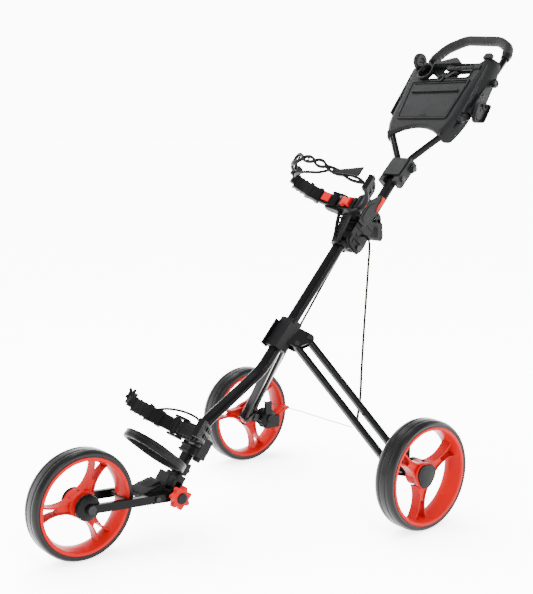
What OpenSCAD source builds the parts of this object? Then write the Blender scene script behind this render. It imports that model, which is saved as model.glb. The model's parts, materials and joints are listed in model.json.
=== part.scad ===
// Three-wheeled golf push trolley, standing ready for use.
// +X is the trolley's left side, -Y is forward and +Z is up, in millimetres.
// The origin is on the floor under the middle of the trolley's overall box.

/* [Wheels] */
// Radius of the two rear wheels
rear_wheel_r = 135; // [130:1:140]
// Radius of the front wheel
front_wheel_r = 126; // [120:1:130]
// Width of a rear tyre
rear_tyre_w = 55; // [50:1:58]
// Width of the front tyre
front_tyre_w = 53; // [48:1:55]
// Radial depth of the foam tyres
tyre_depth = 16; // [14:1:18]
// Radius of the axles
axle_r = 6; // [5:0.5:6]

/* [Stance] */
// Distance between the rear wheels' middle planes
rear_track = 684; // [676:1:700]
// Distance from the front axle to the rear axle
wheelbase = 730; // [722:1:738]

/* [Frame tube] */
// Width of the flat-oval main tube
main_w = 36; // [34:1:38]
// Depth of the flat-oval main tube
main_d = 17; // [16:1:18]
// Slope of the lowest stretch, from the floor
slope_low = 54; // [53:0.5:55]
// Slope of the middle stretch
slope_mid = 31.3; // [31:0.1:32]
// Slope of the upper stretch
slope_up = 49; // [48.5:0.5:49.5]
// Width of the flat-oval upper tube
upper_w = 32; // [30:1:34]
// Depth of the flat-oval upper tube
upper_d = 16; // [15:1:17]

/* [Legs] */
// In-plane width of a leg tube
leg_w = 16; // [14:1:17]
// Depth of a leg tube along its pivot axis
leg_d = 22; // [20:1:23]

/* [Handle] */
// Slope of the console and handle
slope_handle = 46; // [45:0.5:47]
// Radius of the handle tube
handle_r = 8; // [7:0.5:8.5]
// Radius of the foam grip
grip_r = 14.5; // [13:0.5:15]

/* [Bag cradles] */
// Radius of the bag that the upper cradle holds
upper_bag_r = 150; // [145:1:155]
// Radius of the bag that the lower cradle holds
lower_bag_r = 155; // [150:1:158]
// Height of a cradle arm along the bag
arm_h = 38; // [34:1:42]

/* [Hidden] */
$fn = 48;
black = [0.09, 0.09, 0.10];
dark = [0.16, 0.16, 0.17];
red = [0.90, 0.16, 0.13];
steel = [0.62, 0.63, 0.65];

// Every place is worked out from the floor under the rear axle, then moved to the origin.
box_middle_y = -129.3;
running = 0.05;
gap = 0.5;
wall = 1.6;

// Main tube: start point, stretch lengths and bends
tube_start = [0, -495, 112];
low_len = 170;
mid_len = 206;
up_len = 522;
// How far from each corner its bend begins
bend_cut = 24;
main_round = 7.5;
upper_round = 6.5;
bend_a = tube_start + low_len * [0, cos(slope_low), sin(slope_low)];
bend_b = bend_a + mid_len * [0, cos(slope_mid), sin(slope_mid)];

// Fold pivot of the upper tube, on the upper tube's own axis
fold_at = [0, 80, 643.5];
main_behind = (fold_at - bend_b) * [0, sin(slope_up), -cos(slope_up)];
tilt_along = 231;
lever_pin_r = 2.5;
screw_r = 2.1;
screw_heights = [4, 26, 50, 72];
tilt_at = fold_at + tilt_along * [0, cos(slope_up), sin(slope_up)];

// Lower cradle seat, on the lowest stretch
low_seat = tube_start + 152 * [0, cos(slope_low), sin(slope_low)];

// Fork hinge
fork_at = [0, -505, 107];
fork_arm_x = 44;
fork_arm_t = 11;
fork_arm_h = 20;
front_axle_at = [0, -wheelbase, front_wheel_r];
fork_len = norm(front_axle_at - fork_at);
fork_rise = atan2(front_axle_at[2] - fork_at[2], fork_at[1] - front_axle_at[1]);

// Left leg: rear tube's pivots, and the step to the front tube's pivots
leg_top = [39, -99, 424];
leg_foot = [296, -13, 155];
link_step = [-9, -34, -11];
leg_vec = leg_foot - leg_top;
leg_len = norm(leg_vec);
leg_dir = leg_vec / leg_len;
link_flat = link_step - (link_step * leg_dir) * leg_dir;
leg_axis = cross(link_flat, leg_dir) / norm(link_flat);
leg_polar = acos(leg_axis[2]);
leg_azim = atan2(leg_axis[1], leg_axis[0]);
leg_x = [cos(leg_polar) * cos(leg_azim), cos(leg_polar) * sin(leg_azim), -sin(leg_polar)];
leg_y = [-sin(leg_azim), cos(leg_azim), 0];
leg_spin = atan2(leg_dir * leg_y, leg_dir * leg_x);
link_u = link_step * leg_dir;
link_v = -norm(link_flat);
leg_pin_r = 4;

// Wheels: the rim's lip, the bearings, and how far each wheel is turned
rim_lip = 1.5;
bearing_r = 11;
bearing_h = 7;
front_turn = 36;
left_turn = -5;
right_turn = 20;

// Cradle centres in the local frames of their tubes, and the arms' sweep
upper_bag_y = -240;
lower_bag_y = -185;
arm_z = 58;
low_arm_z = -34;
arm_t = 11;
arm_from = 19;
arm_to = 68;
arm_hinge_x = 52;
pocket_angles = [46, 53.5, 61];
upper_hinge_y = upper_bag_y + (upper_bag_r + arm_t / 2) * cos(arm_from);
lower_hinge_y = lower_bag_y + (lower_bag_r + arm_t / 2) * cos(arm_from);

// Strap between the arms' tips, as an arc of its own
strap_r = 380;
strap_half = 21.2;
strap_y = upper_bag_y + upper_bag_r * cos(arm_to) + strap_r * cos(strap_half) - 9;

// Handle tube route: across, along the slope, and behind the hinge axis
handle_route = [
    [14, 30, -5], [21, 62, -9], [84, 134, -19], [122, 182, -20], [131, 250, -20],
    [131, 436, -20], [112, 478, -13], [64, 514, -8]
];
grip_from = 5;
console_face = -42;
console_back = -29;
// Hinge along the lid's upper edge: the console's two pins turn in the lid's rolled edge
lid_hinge = [0, -44.5, 298];
lid_pin_r = 1;

// Hand-chosen cable routes
cable_r = 2.5;
right_cable_route = [
    [-272, -2, 196], [-240, 6, 250], [-180, 18, 350], [-120, 30, 450], [-60, 42, 550], [-14, 52, 626]
];
left_cable_route = [
    [29.5, 84, 630], [31, 98, 632], [36, 110, 620], [42, 112, 580], [58, 98, 500], [80, 72, 420],
    [108, 34, 350], [140, -10, 290], [168, -46, 256], [186, -66, 244]
];
cross_route = [[182, -80, 228], [60, -54, 216], [-60, -30, 206], [-180, -9, 194], [-266, 4, 186]];

module placed() translate([0, -box_middle_y, 0]) children();

// Local frames: z runs up the slope and y points to the underside.
module sloped(at, slope) translate(at) rotate([slope - 90, 0, 0]) children();
module main_frame() placed() sloped(bend_b, slope_up) children();
module fold_frame() placed() sloped(fold_at, slope_up) children();
module low_frame() placed() sloped(low_seat, slope_low) children();
module handle_frame() placed() sloped(tilt_at, slope_handle) children();
module fork_frame() placed() translate(fork_at) rotate([-fork_rise, 0, 0]) children();
module across(at) translate(at) rotate([0, 90, 0]) children();

// Leg frame: x runs down the leg, z is the leg's pivot axis
module leg_frame() translate(leg_top) rotate([0, leg_polar, leg_azim]) rotate([0, 0, leg_spin]) children();
module side(left) placed() mirror([left ? 0 : 1, 0, 0]) children();

// Rounded rectangle, centred
module round_rect(w, d, r) {
    square([w - 2 * r, d], center = true);
    square([w, d - 2 * r], center = true);
    for (sx = [-1, 1], sy = [-1, 1])
        translate([sx * (w / 2 - r), sy * (d / 2 - r)]) circle(r = r);
}

module hollow_section(w, d, r) difference() {
    round_rect(w, d, r);
    round_rect(w - 2 * wall, d - 2 * wall, r - wall);
}

// Rods between route points, with balls at the bends
module rod_route(points, r) {
    for (i = [0 : len(points) - 2]) {
        step = points[i + 1] - points[i];
        translate(points[i])
            rotate([0, acos(step[2] / norm(step)), atan2(step[1], step[0])])
                cylinder(r = r, h = norm(step));
        if (i > 0) translate(points[i]) sphere(r = r);
    }
}

// A route with each inner corner replaced by a short curve
function rounded(points, cut, steps = 4) = concat(
    [points[0]],
    [for (i = [1 : len(points) - 2]) let (
        a = points[i - 1],
        b = points[i],
        c = points[i + 1],
        set_back = min(cut, norm(b - a) * 0.45, norm(c - b) * 0.45),
        p = b + set_back * (a - b) / norm(a - b),
        q = b + set_back * (c - b) / norm(c - b)
    ) for (k = [0 : steps]) let (t = k / steps) (1 - t) * (1 - t) * p + 2 * t * (1 - t) * b + t * t * q],
    [points[len(points) - 1]]
);

// Closed skin of rings along a route; the section's points are [across, up] with across along ref
function along(points, i) = let (a = points[max(i - 1, 0)], b = points[min(i + 1, len(points) - 1)])
    (b - a) / norm(b - a);
module sweep_section(points, section, ref) {
    rings = [for (i = [0 : len(points) - 1]) let (
        t = along(points, i),
        u = cross(t, ref) / norm(cross(t, ref)),
        v = cross(t, u)
    ) for (q = section) points[i] + q[1] * u + q[0] * v];
    n = len(points);
    sides = len(section);
    faces = concat(
        [[for (k = [0 : sides - 1]) k]],
        [for (i = [0 : n - 2], k = [0 : sides - 1]) [
            i * sides + k, (i + 1) * sides + k, (i + 1) * sides + (k + 1) % sides, i * sides + (k + 1) % sides]],
        [[for (k = [sides - 1 : -1 : 0]) (n - 1) * sides + k]]
    );
    polyhedron(points = rings, faces = faces, convexity = 6);
}
function ring(r, sides) = [for (k = [0 : sides - 1]) [r * sin(k * 360 / sides), r * cos(k * 360 / sides)]];
module sweep(points, r, sides = 8, ref = [1, 0, 0]) sweep_section(points, ring(r, sides), ref);

// Points of a rounded rectangle, one quarter after another
function oval(w, d, r, steps = 5) = [for (q = [0 : 3], k = [0 : steps]) let (
    a = 90 * (q + k / steps),
    sx = q == 0 || q == 3 ? 1 : -1,
    sy = q < 2 ? 1 : -1
) [-sx * (w / 2 - r) - r * cos(a), sy * (d / 2 - r) + r * sin(a)]];

// ---- Frame ----
// The bent tube is a skin along its whole route, less the same skin one wall smaller and open at both ends
module main_skin(inset, over) sweep_section(
    rounded([
        tube_start - over * [0, cos(slope_low), sin(slope_low)], bend_a, bend_b,
        bend_b + (up_len + over) * [0, cos(slope_up), sin(slope_up)]], bend_cut),
    oval(main_w - 2 * inset, main_d - 2 * inset, main_round - inset), [1, 0, 0]);
module main_tube() color(black) placed() difference() {
    main_skin(0, 0);
    main_skin(wall, 1);
}

module leg_plate(z, t) {
    hull() {
        translate([0, 0, z]) cylinder(r = 12, h = t, $fn = 32);
        translate([link_u, link_v, z]) cylinder(r = 11, h = t, $fn = 32);
        translate([-28, -50, z]) cylinder(r = 9, h = t, $fn = 32);
        translate([-34, -14, z]) cylinder(r = 9, h = t, $fn = 32);
    }
}

module junction_housing() color(black) {
    difference() {
        union() {
            main_frame() translate([0, 0, 66]) linear_extrude(84) round_rect(54, 34, 6);
            for (left = [true, false]) side(left) leg_frame() {
                leg_plate(leg_d / 2 + gap - 0.1, 3.6);
                leg_plate(-leg_d / 2 - gap - 3.5, 3.6);
            }
            for (sx = [-1, 1]) main_frame() translate([sx * 28, -19, 62]) translate([-2, -6, 0]) cube([4, 20, 74]);
        }
        main_frame() translate([0, 0, 20]) linear_extrude(200) round_rect(main_w + 0.4, main_d + 0.4, main_round + 0.2);
        for (left = [true, false]) side(left) leg_frame() for (p = [[0, 0, 0], [link_u, link_v, 0]]) {
            translate(p + [0, 0, -20]) cylinder(r = leg_pin_r, h = 40);
            translate(p + [0, 0, -leg_d / 2 - gap]) cylinder(r = 14, h = leg_d + 2 * gap);
            translate(p + [0, -leg_w / 2 - 2, -leg_d / 2 - gap]) cube([60, leg_w + 4, leg_d + 2 * gap]);
        }
        for (tz = [80, 136], sx = [-18.6, 18.6]) main_frame() translate([sx, -18, tz]) rotate([-90, 0, 0])
            cylinder(r = screw_r, h = 12);
    }
}

module cap_screw(r, h, head_r, head_h) {
    cylinder(r = r, h = h);
    translate([0, 0, -head_h]) difference() {
        cylinder(r = head_r, h = head_h);
        translate([0, 0, -0.01]) cylinder(r = head_r * 0.5, h = head_h * 0.6, $fn = 6);
    }
}

module frame_screws() color(steel) {
    for (tz = [80, 136], sx = [-18.6, 18.6]) main_frame() translate([sx, -17, tz]) rotate([-90, 0, 0])
        cap_screw(screw_r, 10, 3.6, 2.4);
    for (tz = screw_heights, sx = [-1, 1]) fold_frame() translate([sx * 26, -26, tz]) rotate([0, -sx * 90, 0])
        cap_screw(screw_r, 3.5, 3.2, 1.6);
}

module pivot_pins() color(steel) {
    for (left = [true, false]) side(left) leg_frame() for (p = [[0, 0], [link_u, link_v]])
        translate([p[0], p[1], -leg_d / 2 - 5]) {
            cylinder(r = leg_pin_r, h = leg_d + 12);
            translate([0, 0, leg_d + 9.2]) cylinder(r = 6.5, h = 3);
        }
    fold_frame() across([-30, 0, 0]) {
        cylinder(r = 5, h = 60);
        translate([0, 0, 56.3]) cylinder(r = 8, h = 4);
        translate([0, 0, -0.3]) cylinder(r = 8, h = 4);
    }
    for (sx = [-1, 1]) {
        fold_frame() translate([sx * arm_hinge_x, upper_hinge_y, arm_z - 6]) cylinder(r = 3, h = arm_h + 12);
        low_frame() translate([sx * arm_hinge_x, lower_hinge_y, low_arm_z - 6]) cylinder(r = 3, h = arm_h + 12);
    }
}

module fold_channel() color(black) fold_frame() difference() {
    union() {
        for (sx = [-1, 1]) translate([sx * 24 - 2, -50, -18]) rotate([90, 0, 90]) linear_extrude(4)
            polygon([[0, 14], [10, 0], [58, 0], [66, 8], [66, 34], [58, 96], [22, 104], [0, 96]]);
        translate([-26, -29, -18]) cube([52, 3, 112]);
        translate([-26, -50, -4]) cube([52, 4, 100]);
        translate([-22, -28, -18]) cube([44, 6, 6]);
    }
    translate([0, -main_behind, -40]) linear_extrude(200) round_rect(main_w + 0.4, main_d + 0.4, main_round + 0.2);
    across([-40, 0, 0]) cylinder(r = 5, h = 80);
    for (tz = screw_heights, sx = [-1, 1]) translate([sx * 26.1, -26, tz]) rotate([0, -sx * 90, 0])
        cylinder(r = screw_r, h = 3.6);
}

module tube_collar() color(black) fold_frame() translate([0, -main_behind, 0]) {
    difference() {
        union() {
            translate([0, 0, -42]) linear_extrude(20) round_rect(43, 23, 9);
            translate([0, 0, -38]) linear_extrude(7) round_rect(47, 27, 10);
            translate([-13, -25, -38]) cube([26, 16, 14]);
        }
        translate([0, 0, -60]) linear_extrude(80) round_rect(main_w + 0.2, main_d + 0.2, main_round + 0.1);
    }
}

module cradle_block() color(dark) fold_frame() {
    difference() {
        union() {
            translate([-34, -92, 60]) cube([68, 38, 34]);
            translate([-30, -84, 51.5]) cube([60, 32, 51]);
            translate([-40, -88, 66]) cube([80, 24, 22]);
            translate([-18, -64, 60]) cube([36, 14, 50]);
        }
        translate([-14.3, -93, 64]) cube([28.6, 15.3, 24.8]);
        for (sx = [-1, 1]) translate([sx * arm_hinge_x, upper_hinge_y, 40]) cylinder(r = 13.5, h = 80);
    }
    // Hinge lugs above and below each arm's root
    for (sx = [-1, 1], z = [arm_z - 6.5, arm_z + arm_h + 1]) difference() {
        hull() {
            translate([sx * arm_hinge_x, upper_hinge_y, z]) cylinder(r = 10, h = 5.5, $fn = 32);
            translate([sx * 26, -74, z]) cylinder(r = 10, h = 5.5, $fn = 32);
        }
        translate([sx * arm_hinge_x, upper_hinge_y, z - 1]) cylinder(r = 3, h = 8);
    }
    // Curved strut down to the collar
    for (sx = [-8, 8]) translate([sx - 2.5, 0, 0]) rotate([90, 0, 90]) linear_extrude(5)
        polygon([[-88, 60], [-74, 60], [-66, 20], [-58, -20], [-52, -23.8], [-64, -23.8], [-74, -18], [-82, 20]]);
    for (z = [-8, 10, 28, 46]) translate([-8, -74 - z * 0.14, z]) cube([16, 8, 3]);
}
module cheek_outline() {
    polygon([[-50, 52], [-28, 52], [-15, 96], [-13, 128], [-30, 142], [-48, 118], [-50, 100]]);
}

module cradle_cheeks() color(dark) fold_frame() difference() {
    union() {
        for (sx = [-1, 1]) translate([sx * 28.1 - 2, 0, 0]) rotate([90, 0, 90]) linear_extrude(4) cheek_outline();
        translate([-30, -50, 98]) cube([60, 3.8, 22]);
    }
    translate([0, -main_behind, 0]) linear_extrude(200) round_rect(main_w + 0.3, main_d + 0.3, main_round + 0.1);
    for (tz = [50, 72]) across([-40, -26, tz]) cylinder(r = 4.4, h = 80);
}

module cradle_trim() color(red) fold_frame() for (sx = [-1, 1]) translate([sx * 31.1 - 1, 0, 0])
    rotate([90, 0, 90]) linear_extrude(2)
        polygon([[-22, 74], [-18, 98], [-18, 118], [-13, 134], [-28, 142], [-24, 118], [-25, 100]]);

module cradle_button() color(red) fold_frame() difference() {
    translate([-14, -99, 64.5]) cube([28, 18, 24]);
    for (sx = [-1, 1]) translate([sx * 17, -99, 76.5]) rotate([-90, 0, 0]) translate([0, 0, -1]) cylinder(r = 6, h = 8);
}

module arm_button() color(red) fold_frame() translate([0, upper_bag_y, arm_z + 6.5]) rotate([0, 0, 115])
    rotate_extrude(angle = 12) translate([upper_bag_r - 4, 0]) square([8, 25]);

// One cradle arm about its bag's axis, on the left side, with pockets between its outer ribs
module cradle_arm(bag_r, bag_y, z0, hinge_y) {
    difference() {
        union() {
            translate([0, bag_y, z0]) rotate([0, 0, 90 - arm_to]) rotate_extrude(angle = arm_to - arm_from, $fn = 96)
                translate([bag_r, 0]) square([arm_t, arm_h]);
            translate([arm_hinge_x, hinge_y, z0 - 0.4]) cylinder(r = 9.5, h = arm_h + 0.8);
            translate([0, bag_y, z0 - 2]) rotate([0, 0, 90 - arm_to]) translate([bag_r - 0.5, -5, 0])
                cube([arm_t + 1.5, 10, arm_h + 4]);
        }
        translate([arm_hinge_x, hinge_y, z0 - 2]) cylinder(r = 3 + running, h = arm_h + 4);
        for (a = pocket_angles, z = [4, arm_h / 2 + 2]) translate([0, bag_y, z0 + z]) rotate([0, 0, 90 - a])
            rotate_extrude(angle = 5.5, $fn = 96) translate([bag_r + 4, 0]) square([arm_t, arm_h / 2 - 6]);
    }
}

module left_arm() color(black) fold_frame() cradle_arm(upper_bag_r, upper_bag_y, arm_z, upper_hinge_y);

module right_arm() color(black) fold_frame() difference() {
    mirror([1, 0, 0]) cradle_arm(upper_bag_r, upper_bag_y, arm_z, upper_hinge_y);
    translate([0, upper_bag_y, arm_z + 6]) rotate([0, 0, 114.8]) rotate_extrude(angle = 12.4)
        translate([upper_bag_r - 6, 0]) square([14, 26]);
}

module bag_strap() color(black) fold_frame() translate([0, strap_y, arm_z + 4])
    rotate([0, 0, 270 - strap_half]) rotate_extrude(angle = 2 * strap_half, $fn = 96)
        translate([strap_r, 0]) square([4, 30]);

module lower_bracket() color(dark) low_frame() {
    difference() {
        union() {
            translate([0, 0, -64]) linear_extrude(60) round_rect(50, 31, 9);
            translate([-38, -34, -36]) cube([76, 22, 42]);
            translate([-15, -46, -30]) cube([30, 14, 30]);
            translate([25, -9, -60]) cube([18, 27, 48]);
            translate([-30, -15, -60]) cube([6, 30, 50]);
        }
        translate([0, 0, -80]) linear_extrude(100) round_rect(main_w + 0.3, main_d + 0.3, main_round + 0.1);
        translate([28, -6, -57]) cube([16, 21, 42]);
        for (sx = [-1, 1]) translate([sx * arm_hinge_x, lower_hinge_y, -60]) cylinder(r = 13.5, h = 90);
        translate([-9, -48, -26]) cube([18, 10, 22]);
    }
    for (sx = [-1, 1], z = [low_arm_z - 6.5, low_arm_z + arm_h + 1]) difference() {
        hull() {
            translate([sx * arm_hinge_x, lower_hinge_y, z]) cylinder(r = 10, h = 5.5, $fn = 32);
            translate([sx * 30, -24, z]) cylinder(r = 10, h = 5.5, $fn = 32);
        }
        translate([sx * arm_hinge_x, lower_hinge_y, z - 1]) cylinder(r = 3, h = 8);
    }
}

module low_side(left) mirror([left ? 0 : 1, 0, 0]) cradle_arm(lower_bag_r, lower_bag_y, low_arm_z, lower_hinge_y);
module lower_left_arm() color(black) low_frame() low_side(true);
module lower_right_arm() color(black) low_frame() low_side(false);

module bag_hoop() color(black) low_frame() {
    translate([0, -99.5, -96]) difference() {
        linear_extrude(11) difference() {
            round_rect(128, 181, 60);
            round_rect(100, 153, 46);
        }
        translate([0, 0, 8]) linear_extrude(4) difference() {
            round_rect(120, 173, 56);
            round_rect(108, 161, 50);
        }
    }
    difference() {
        union() {
            translate([0, 0, -104]) linear_extrude(34) round_rect(46, 27, 9);
            translate([-20, -30, -102]) cube([40, 22, 26]);
        }
        translate([0, 0, -120]) linear_extrude(60) round_rect(main_w + 0.3, main_d + 0.3, main_round + 0.1);
        translate([-64, -200, -96.2]) cube([128, 178.2, 11.4]);
    }
}

module fork_knuckle() color(black) difference() {
    union() {
        placed() translate(fork_at) across([-38, 0, 0]) cylinder(r = 15, h = 76);
        low_frame() translate([0, 0, -156]) linear_extrude(44) round_rect(46, 27, 9);
        low_frame() translate([-23, -26, -150]) cube([46, 18, 34]);
    }
    low_frame() translate([0, 0, -200]) linear_extrude(200) round_rect(main_w + 0.3, main_d + 0.3, main_round + 0.1);
    placed() translate(fork_at) across([-50, 0, 0]) cylinder(r = 5 + running, h = 100);
}

// ---- Front fork ----
module fork_arms() color(black) fork_frame() for (sx = [-1, 1]) difference() {
    translate([sx * fork_arm_x - fork_arm_t / 2, 0, 0]) union() {
        translate([0, -fork_len, -fork_arm_h / 2]) cube([fork_arm_t, fork_len, fork_arm_h]);
        across([0, 0, 0]) cylinder(r = 13, h = fork_arm_t);
        across([0, -fork_len, 0]) cylinder(r = 12, h = fork_arm_t);
    }
    across([-60, 0, 0]) cylinder(r = 5, h = 120);
    across([-60, -fork_len, 0]) cylinder(r = axle_r, h = 120);
    across([-60, -54, 0]) cylinder(r = 3, h = 120);
    translate([sx * fork_arm_x - 4, -fork_len + 16, -8]) cube([8, fork_len - 90, 16]);
}

module fork_brace() color(dark) fork_frame() difference() {
    union() {
        translate([-38.4, -66, -9]) cube([76.8, 36, 20]);
        translate([-49, -80, 10.2]) cube([98, 58, 4]);
        translate([-30, -74, 14]) cube([60, 46, 6]);
        for (sx = [-1, 1]) translate([sx * 36.2 - 2.2, -92, -9]) cube([4.4, 30, 18]);
    }
    across([-60, -54, 0]) cylinder(r = 3, h = 120);
    translate([-30, -60, -10]) cube([60, 24, 16]);
    translate([0, -fork_len, -20]) cylinder(r = fork_len - 84, h = 30, $fn = 96);
    translate([-24, -68, 17]) cube([48, 34, 4]);
}

module fork_bolts() color(steel) fork_frame() {
    across([-50, 0, 0]) cylinder(r = 5, h = 118);
    across([-55, 0, 0]) cylinder(r = 9, h = 5.2);
    for (sx = [-1, 1]) {
        across([sx > 0 ? 34 : -52, -54, 0]) cylinder(r = 3, h = 18);
        across([sx > 0 ? 49.6 : -53.6, -54, 0]) cylinder(r = 6.5, h = 4);
    }
}

module front_axle() color(steel) fork_frame() {
    across([-54, -fork_len, 0]) cylinder(r = axle_r, h = 108);
    for (x = [-54, 49.6]) across([x, -fork_len, 0]) cylinder(r = 10, h = 4.4);
}

module front_hub_covers() color(black) fork_frame() for (sx = [-1, 1]) translate([0, -fork_len, 0])
    rotate([0, sx * 90, 0]) rotate_extrude()
        polygon([[axle_r + 0.05, 25], [13, 25], [14, 27.4], [28, 27.4], [29, 29], [27, 33], [20, 37], [14, 38.4],
            [axle_r + 0.05, 38.4]]);

module star_outline() {
    circle(r = 20);
    for (a = [0 : 360 / 7 : 359]) rotate(a) {
        translate([21, 0]) circle(r = 7.2);
        translate([10, -6.2]) square([12, 12.4]);
    }
}
module star_knob() color(red) fork_frame() across([52, 0, 0]) difference() {
    union() {
        linear_extrude(16) star_outline();
        translate([0, 0, -2]) cylinder(r = 15, h = 3);
        cylinder(r = 13, h = 20);
    }
    translate([0, 0, -3]) cylinder(r = 5 + running, h = 20);
}

// ---- Wheels, each about its own z axis with the outer face up ----
module tyre(r, w) {
    half = w / 2;
    rotate_extrude($fn = 120) difference() {
        union() {
            translate([r - tyre_depth, -half + 2]) square([tyre_depth - 10, w - 4]);
            translate([r - tyre_depth, -half + 10]) square([tyre_depth, w - 20]);
            for (sy = [-1, 1]) translate([r - 10, sy * (half - 10)]) circle(r = 10);
        }
        translate([0, -w]) square([r - tyre_depth, 2 * w]);
        for (sy = [-1, 1]) translate([r - tyre_depth, sy * (half + 1) - 3]) square([rim_lip + running, 6]);
        for (sy = [-1, 1]) translate([r + 0.4, sy * 9]) circle(r = 2);
    }
}

module spoke_outline(hub_r, rim_r) {
    mid = (hub_r + rim_r) / 2 + 2;
    waist = 10;
    scoop = (rim_r - hub_r) * 0.95;
    difference() {
        translate([hub_r - 8, -30]) square([rim_r - hub_r + 12, 60]);
        for (sy = [-1, 1]) translate([mid - 4, sy * (waist + scoop)]) circle(r = scoop, $fn = 96);
        difference() {
            polygon([[hub_r + 8, -2], [hub_r + 8, 2], [rim_r - 6, 7.5], [rim_r - 6, -7.5]]);
            translate([mid + 4, -8]) square([4, 16]);
        }
    }
}

module rim(r, w, turn) {
    out = r - tyre_depth;
    inner = out - 9;
    half = w / 2 - 2;
    difference() {
        union() {
            rotate_extrude($fn = 120) polygon([
                [out, -half], [out, half], [out + rim_lip, half], [out + rim_lip, half + 1.6], [inner + 2, half + 1.6],
                [inner - 1, half - 4], [inner - 3, 8], [inner - 3, -8], [inner, -half], [inner + 3, -half - 1.6],
                [out + rim_lip, -half - 1.6], [out + rim_lip, -half]]);
            rotate(turn) intersection() {
                translate([0, 0, -13]) linear_extrude(24) for (a = [0, 120, 240]) rotate(a)
                    spoke_outline(24, inner);
                cylinder(r = inner + 1, h = 60, center = true, $fn = 120);
            }
            translate([0, 0, -half + 1]) cylinder(r = 25, h = half + 13);
            translate([0, 0, -half + 1]) cylinder(r = 31, h = 6);
            rotate(turn) translate([0, 0, 6]) linear_extrude(9) cap_outline(34);
        }
        cylinder(r = 9, h = 80, center = true);
        translate([0, 0, -half]) cylinder(r = bearing_r, h = 8);
        translate([0, 0, 8]) cylinder(r = bearing_r, h = 20);
    }
}
// Rounded triangle with its corners on the spokes
module cap_outline(size) {
    intersection() {
        circle(r = size * 0.92);
        rotate(60) translate([size * 0.62, 0]) circle(r = size * 1.42);
        rotate(180) translate([size * 0.62, 0]) circle(r = size * 1.42);
        rotate(300) translate([size * 0.62, 0]) circle(r = size * 1.42);
    }
}

module bearings(half) for (z = [1 - half, 8]) translate([0, 0, z]) difference() {
    cylinder(r = bearing_r, h = bearing_h);
    translate([0, 0, -1]) cylinder(r = axle_r + running, h = bearing_h + 2);
}

module hub_cap(turn) {
    rotate(turn) translate([0, 0, 15.2]) {
        linear_extrude(3) cap_outline(31);
        translate([0, 0, 3]) linear_extrude(1.6) cap_outline(28);
    }
}

module front_place() fork_frame() across([0, -fork_len, 0]) children();
module rear_place(left) side(left) across([rear_track / 2, 0, rear_wheel_r]) children();

module front_tyre() color(black) front_place() tyre(front_wheel_r, front_tyre_w);
module front_rim() color(red) front_place() rim(front_wheel_r, front_tyre_w, front_turn);
module front_bearings() color(steel) front_place() bearings(front_tyre_w / 2 - 2);
module left_tyre() color(black) rear_place(true) tyre(rear_wheel_r, rear_tyre_w);
module left_rim() color(red) rear_place(true) rim(rear_wheel_r, rear_tyre_w, left_turn);
module left_bearings() color(steel) rear_place(true) bearings(rear_tyre_w / 2 - 2);
module left_hub_cap() color(dark) rear_place(true) hub_cap(left_turn);
module right_tyre() color(black) rear_place(false) tyre(rear_wheel_r, rear_tyre_w);
module right_rim() color(red) rear_place(false) rim(rear_wheel_r, rear_tyre_w, right_turn);
module right_bearings() color(steel) rear_place(false) bearings(rear_tyre_w / 2 - 2);
module right_hub_cap() color(dark) rear_place(false) hub_cap(right_turn);

// ---- Legs ----
module leg_tube() difference() {
    union() {
        rotate([0, 90, 0]) linear_extrude(leg_len) round_rect(leg_d, leg_w, 6);
        for (x = [0, leg_len]) translate([x, 0, -leg_d / 2]) cylinder(r = leg_w / 2, h = leg_d);
    }
    translate([26, 0, 0]) rotate([0, 90, 0]) linear_extrude(leg_len - 52) round_rect(leg_d - 3.2, leg_w - 3.2, 4.4);
    for (x = [0, leg_len]) translate([x, 0, -leg_d]) cylinder(r = leg_pin_r + running, h = 2 * leg_d);
}
module left_rear_leg() color(black) side(true) leg_frame() leg_tube();
module right_rear_leg() color(black) side(false) leg_frame() leg_tube();

// The front tube's foot pin hole is oversize, as the slack that the closed link needs
module link_tube() translate([link_u, link_v, 0]) difference() {
    leg_tube();
    translate([leg_len, 0, -leg_d]) cylinder(r = leg_pin_r + 0.4, h = 2 * leg_d);
}
module left_front_leg() color(black) side(true) leg_frame() link_tube();
module right_front_leg() color(black) side(false) leg_frame() link_tube();

module foot_plate(z, t) hull() {
    translate([0, 0, z]) cylinder(r = 11, h = t, $fn = 32);
    translate([link_u, link_v, z]) cylinder(r = 10, h = t, $fn = 32);
    translate([24, 2, z]) cylinder(r = 14, h = t, $fn = 32);
}

module hub_bracket(left) {
    foot_z = leg_d / 2 + gap;
    difference() {
        union() {
            side(left) leg_frame() translate([leg_len, 0, 0]) {
                foot_plate(foot_z, 3.5);
                foot_plate(-foot_z - 3.5, 3.5);
                translate([15, -12, -foot_z]) cube([18, 26, 2 * foot_z]);
            }
            side(left) across([292, 0, rear_wheel_r]) cylinder(r = 10, h = 10);
            side(left) across([299, 0, rear_wheel_r]) cylinder(r = 14.5, h = 13);
            // Pivot pins that carry the two leg tubes
            side(left) leg_frame() for (p = [[0, 0], [link_u, link_v]])
                translate([leg_len + p[0], p[1], -foot_z - 5]) cylinder(r = leg_pin_r, h = 2 * foot_z + 10);
        }
        side(left) across([260, 0, rear_wheel_r]) cylinder(r = axle_r, h = 80);
        side(left) across([280, 0, rear_wheel_r]) cylinder(r = 10, h = 11.8);
        side(left) across([313, 0, rear_wheel_r]) cylinder(r = 60, h = 40);
    }
}
module left_hub_bracket() color(black) hub_bracket(true);
module right_hub_bracket() color(black) hub_bracket(false);

module stub_axle() across([286, 0, rear_wheel_r]) {
    cylinder(r = axle_r, h = rear_track / 2 - 286 + 15);
    cylinder(r = 10, h = 5.8);
}
module left_axle() color(steel) side(true) stub_axle();
module right_axle() color(steel) side(false) stub_axle();

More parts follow.
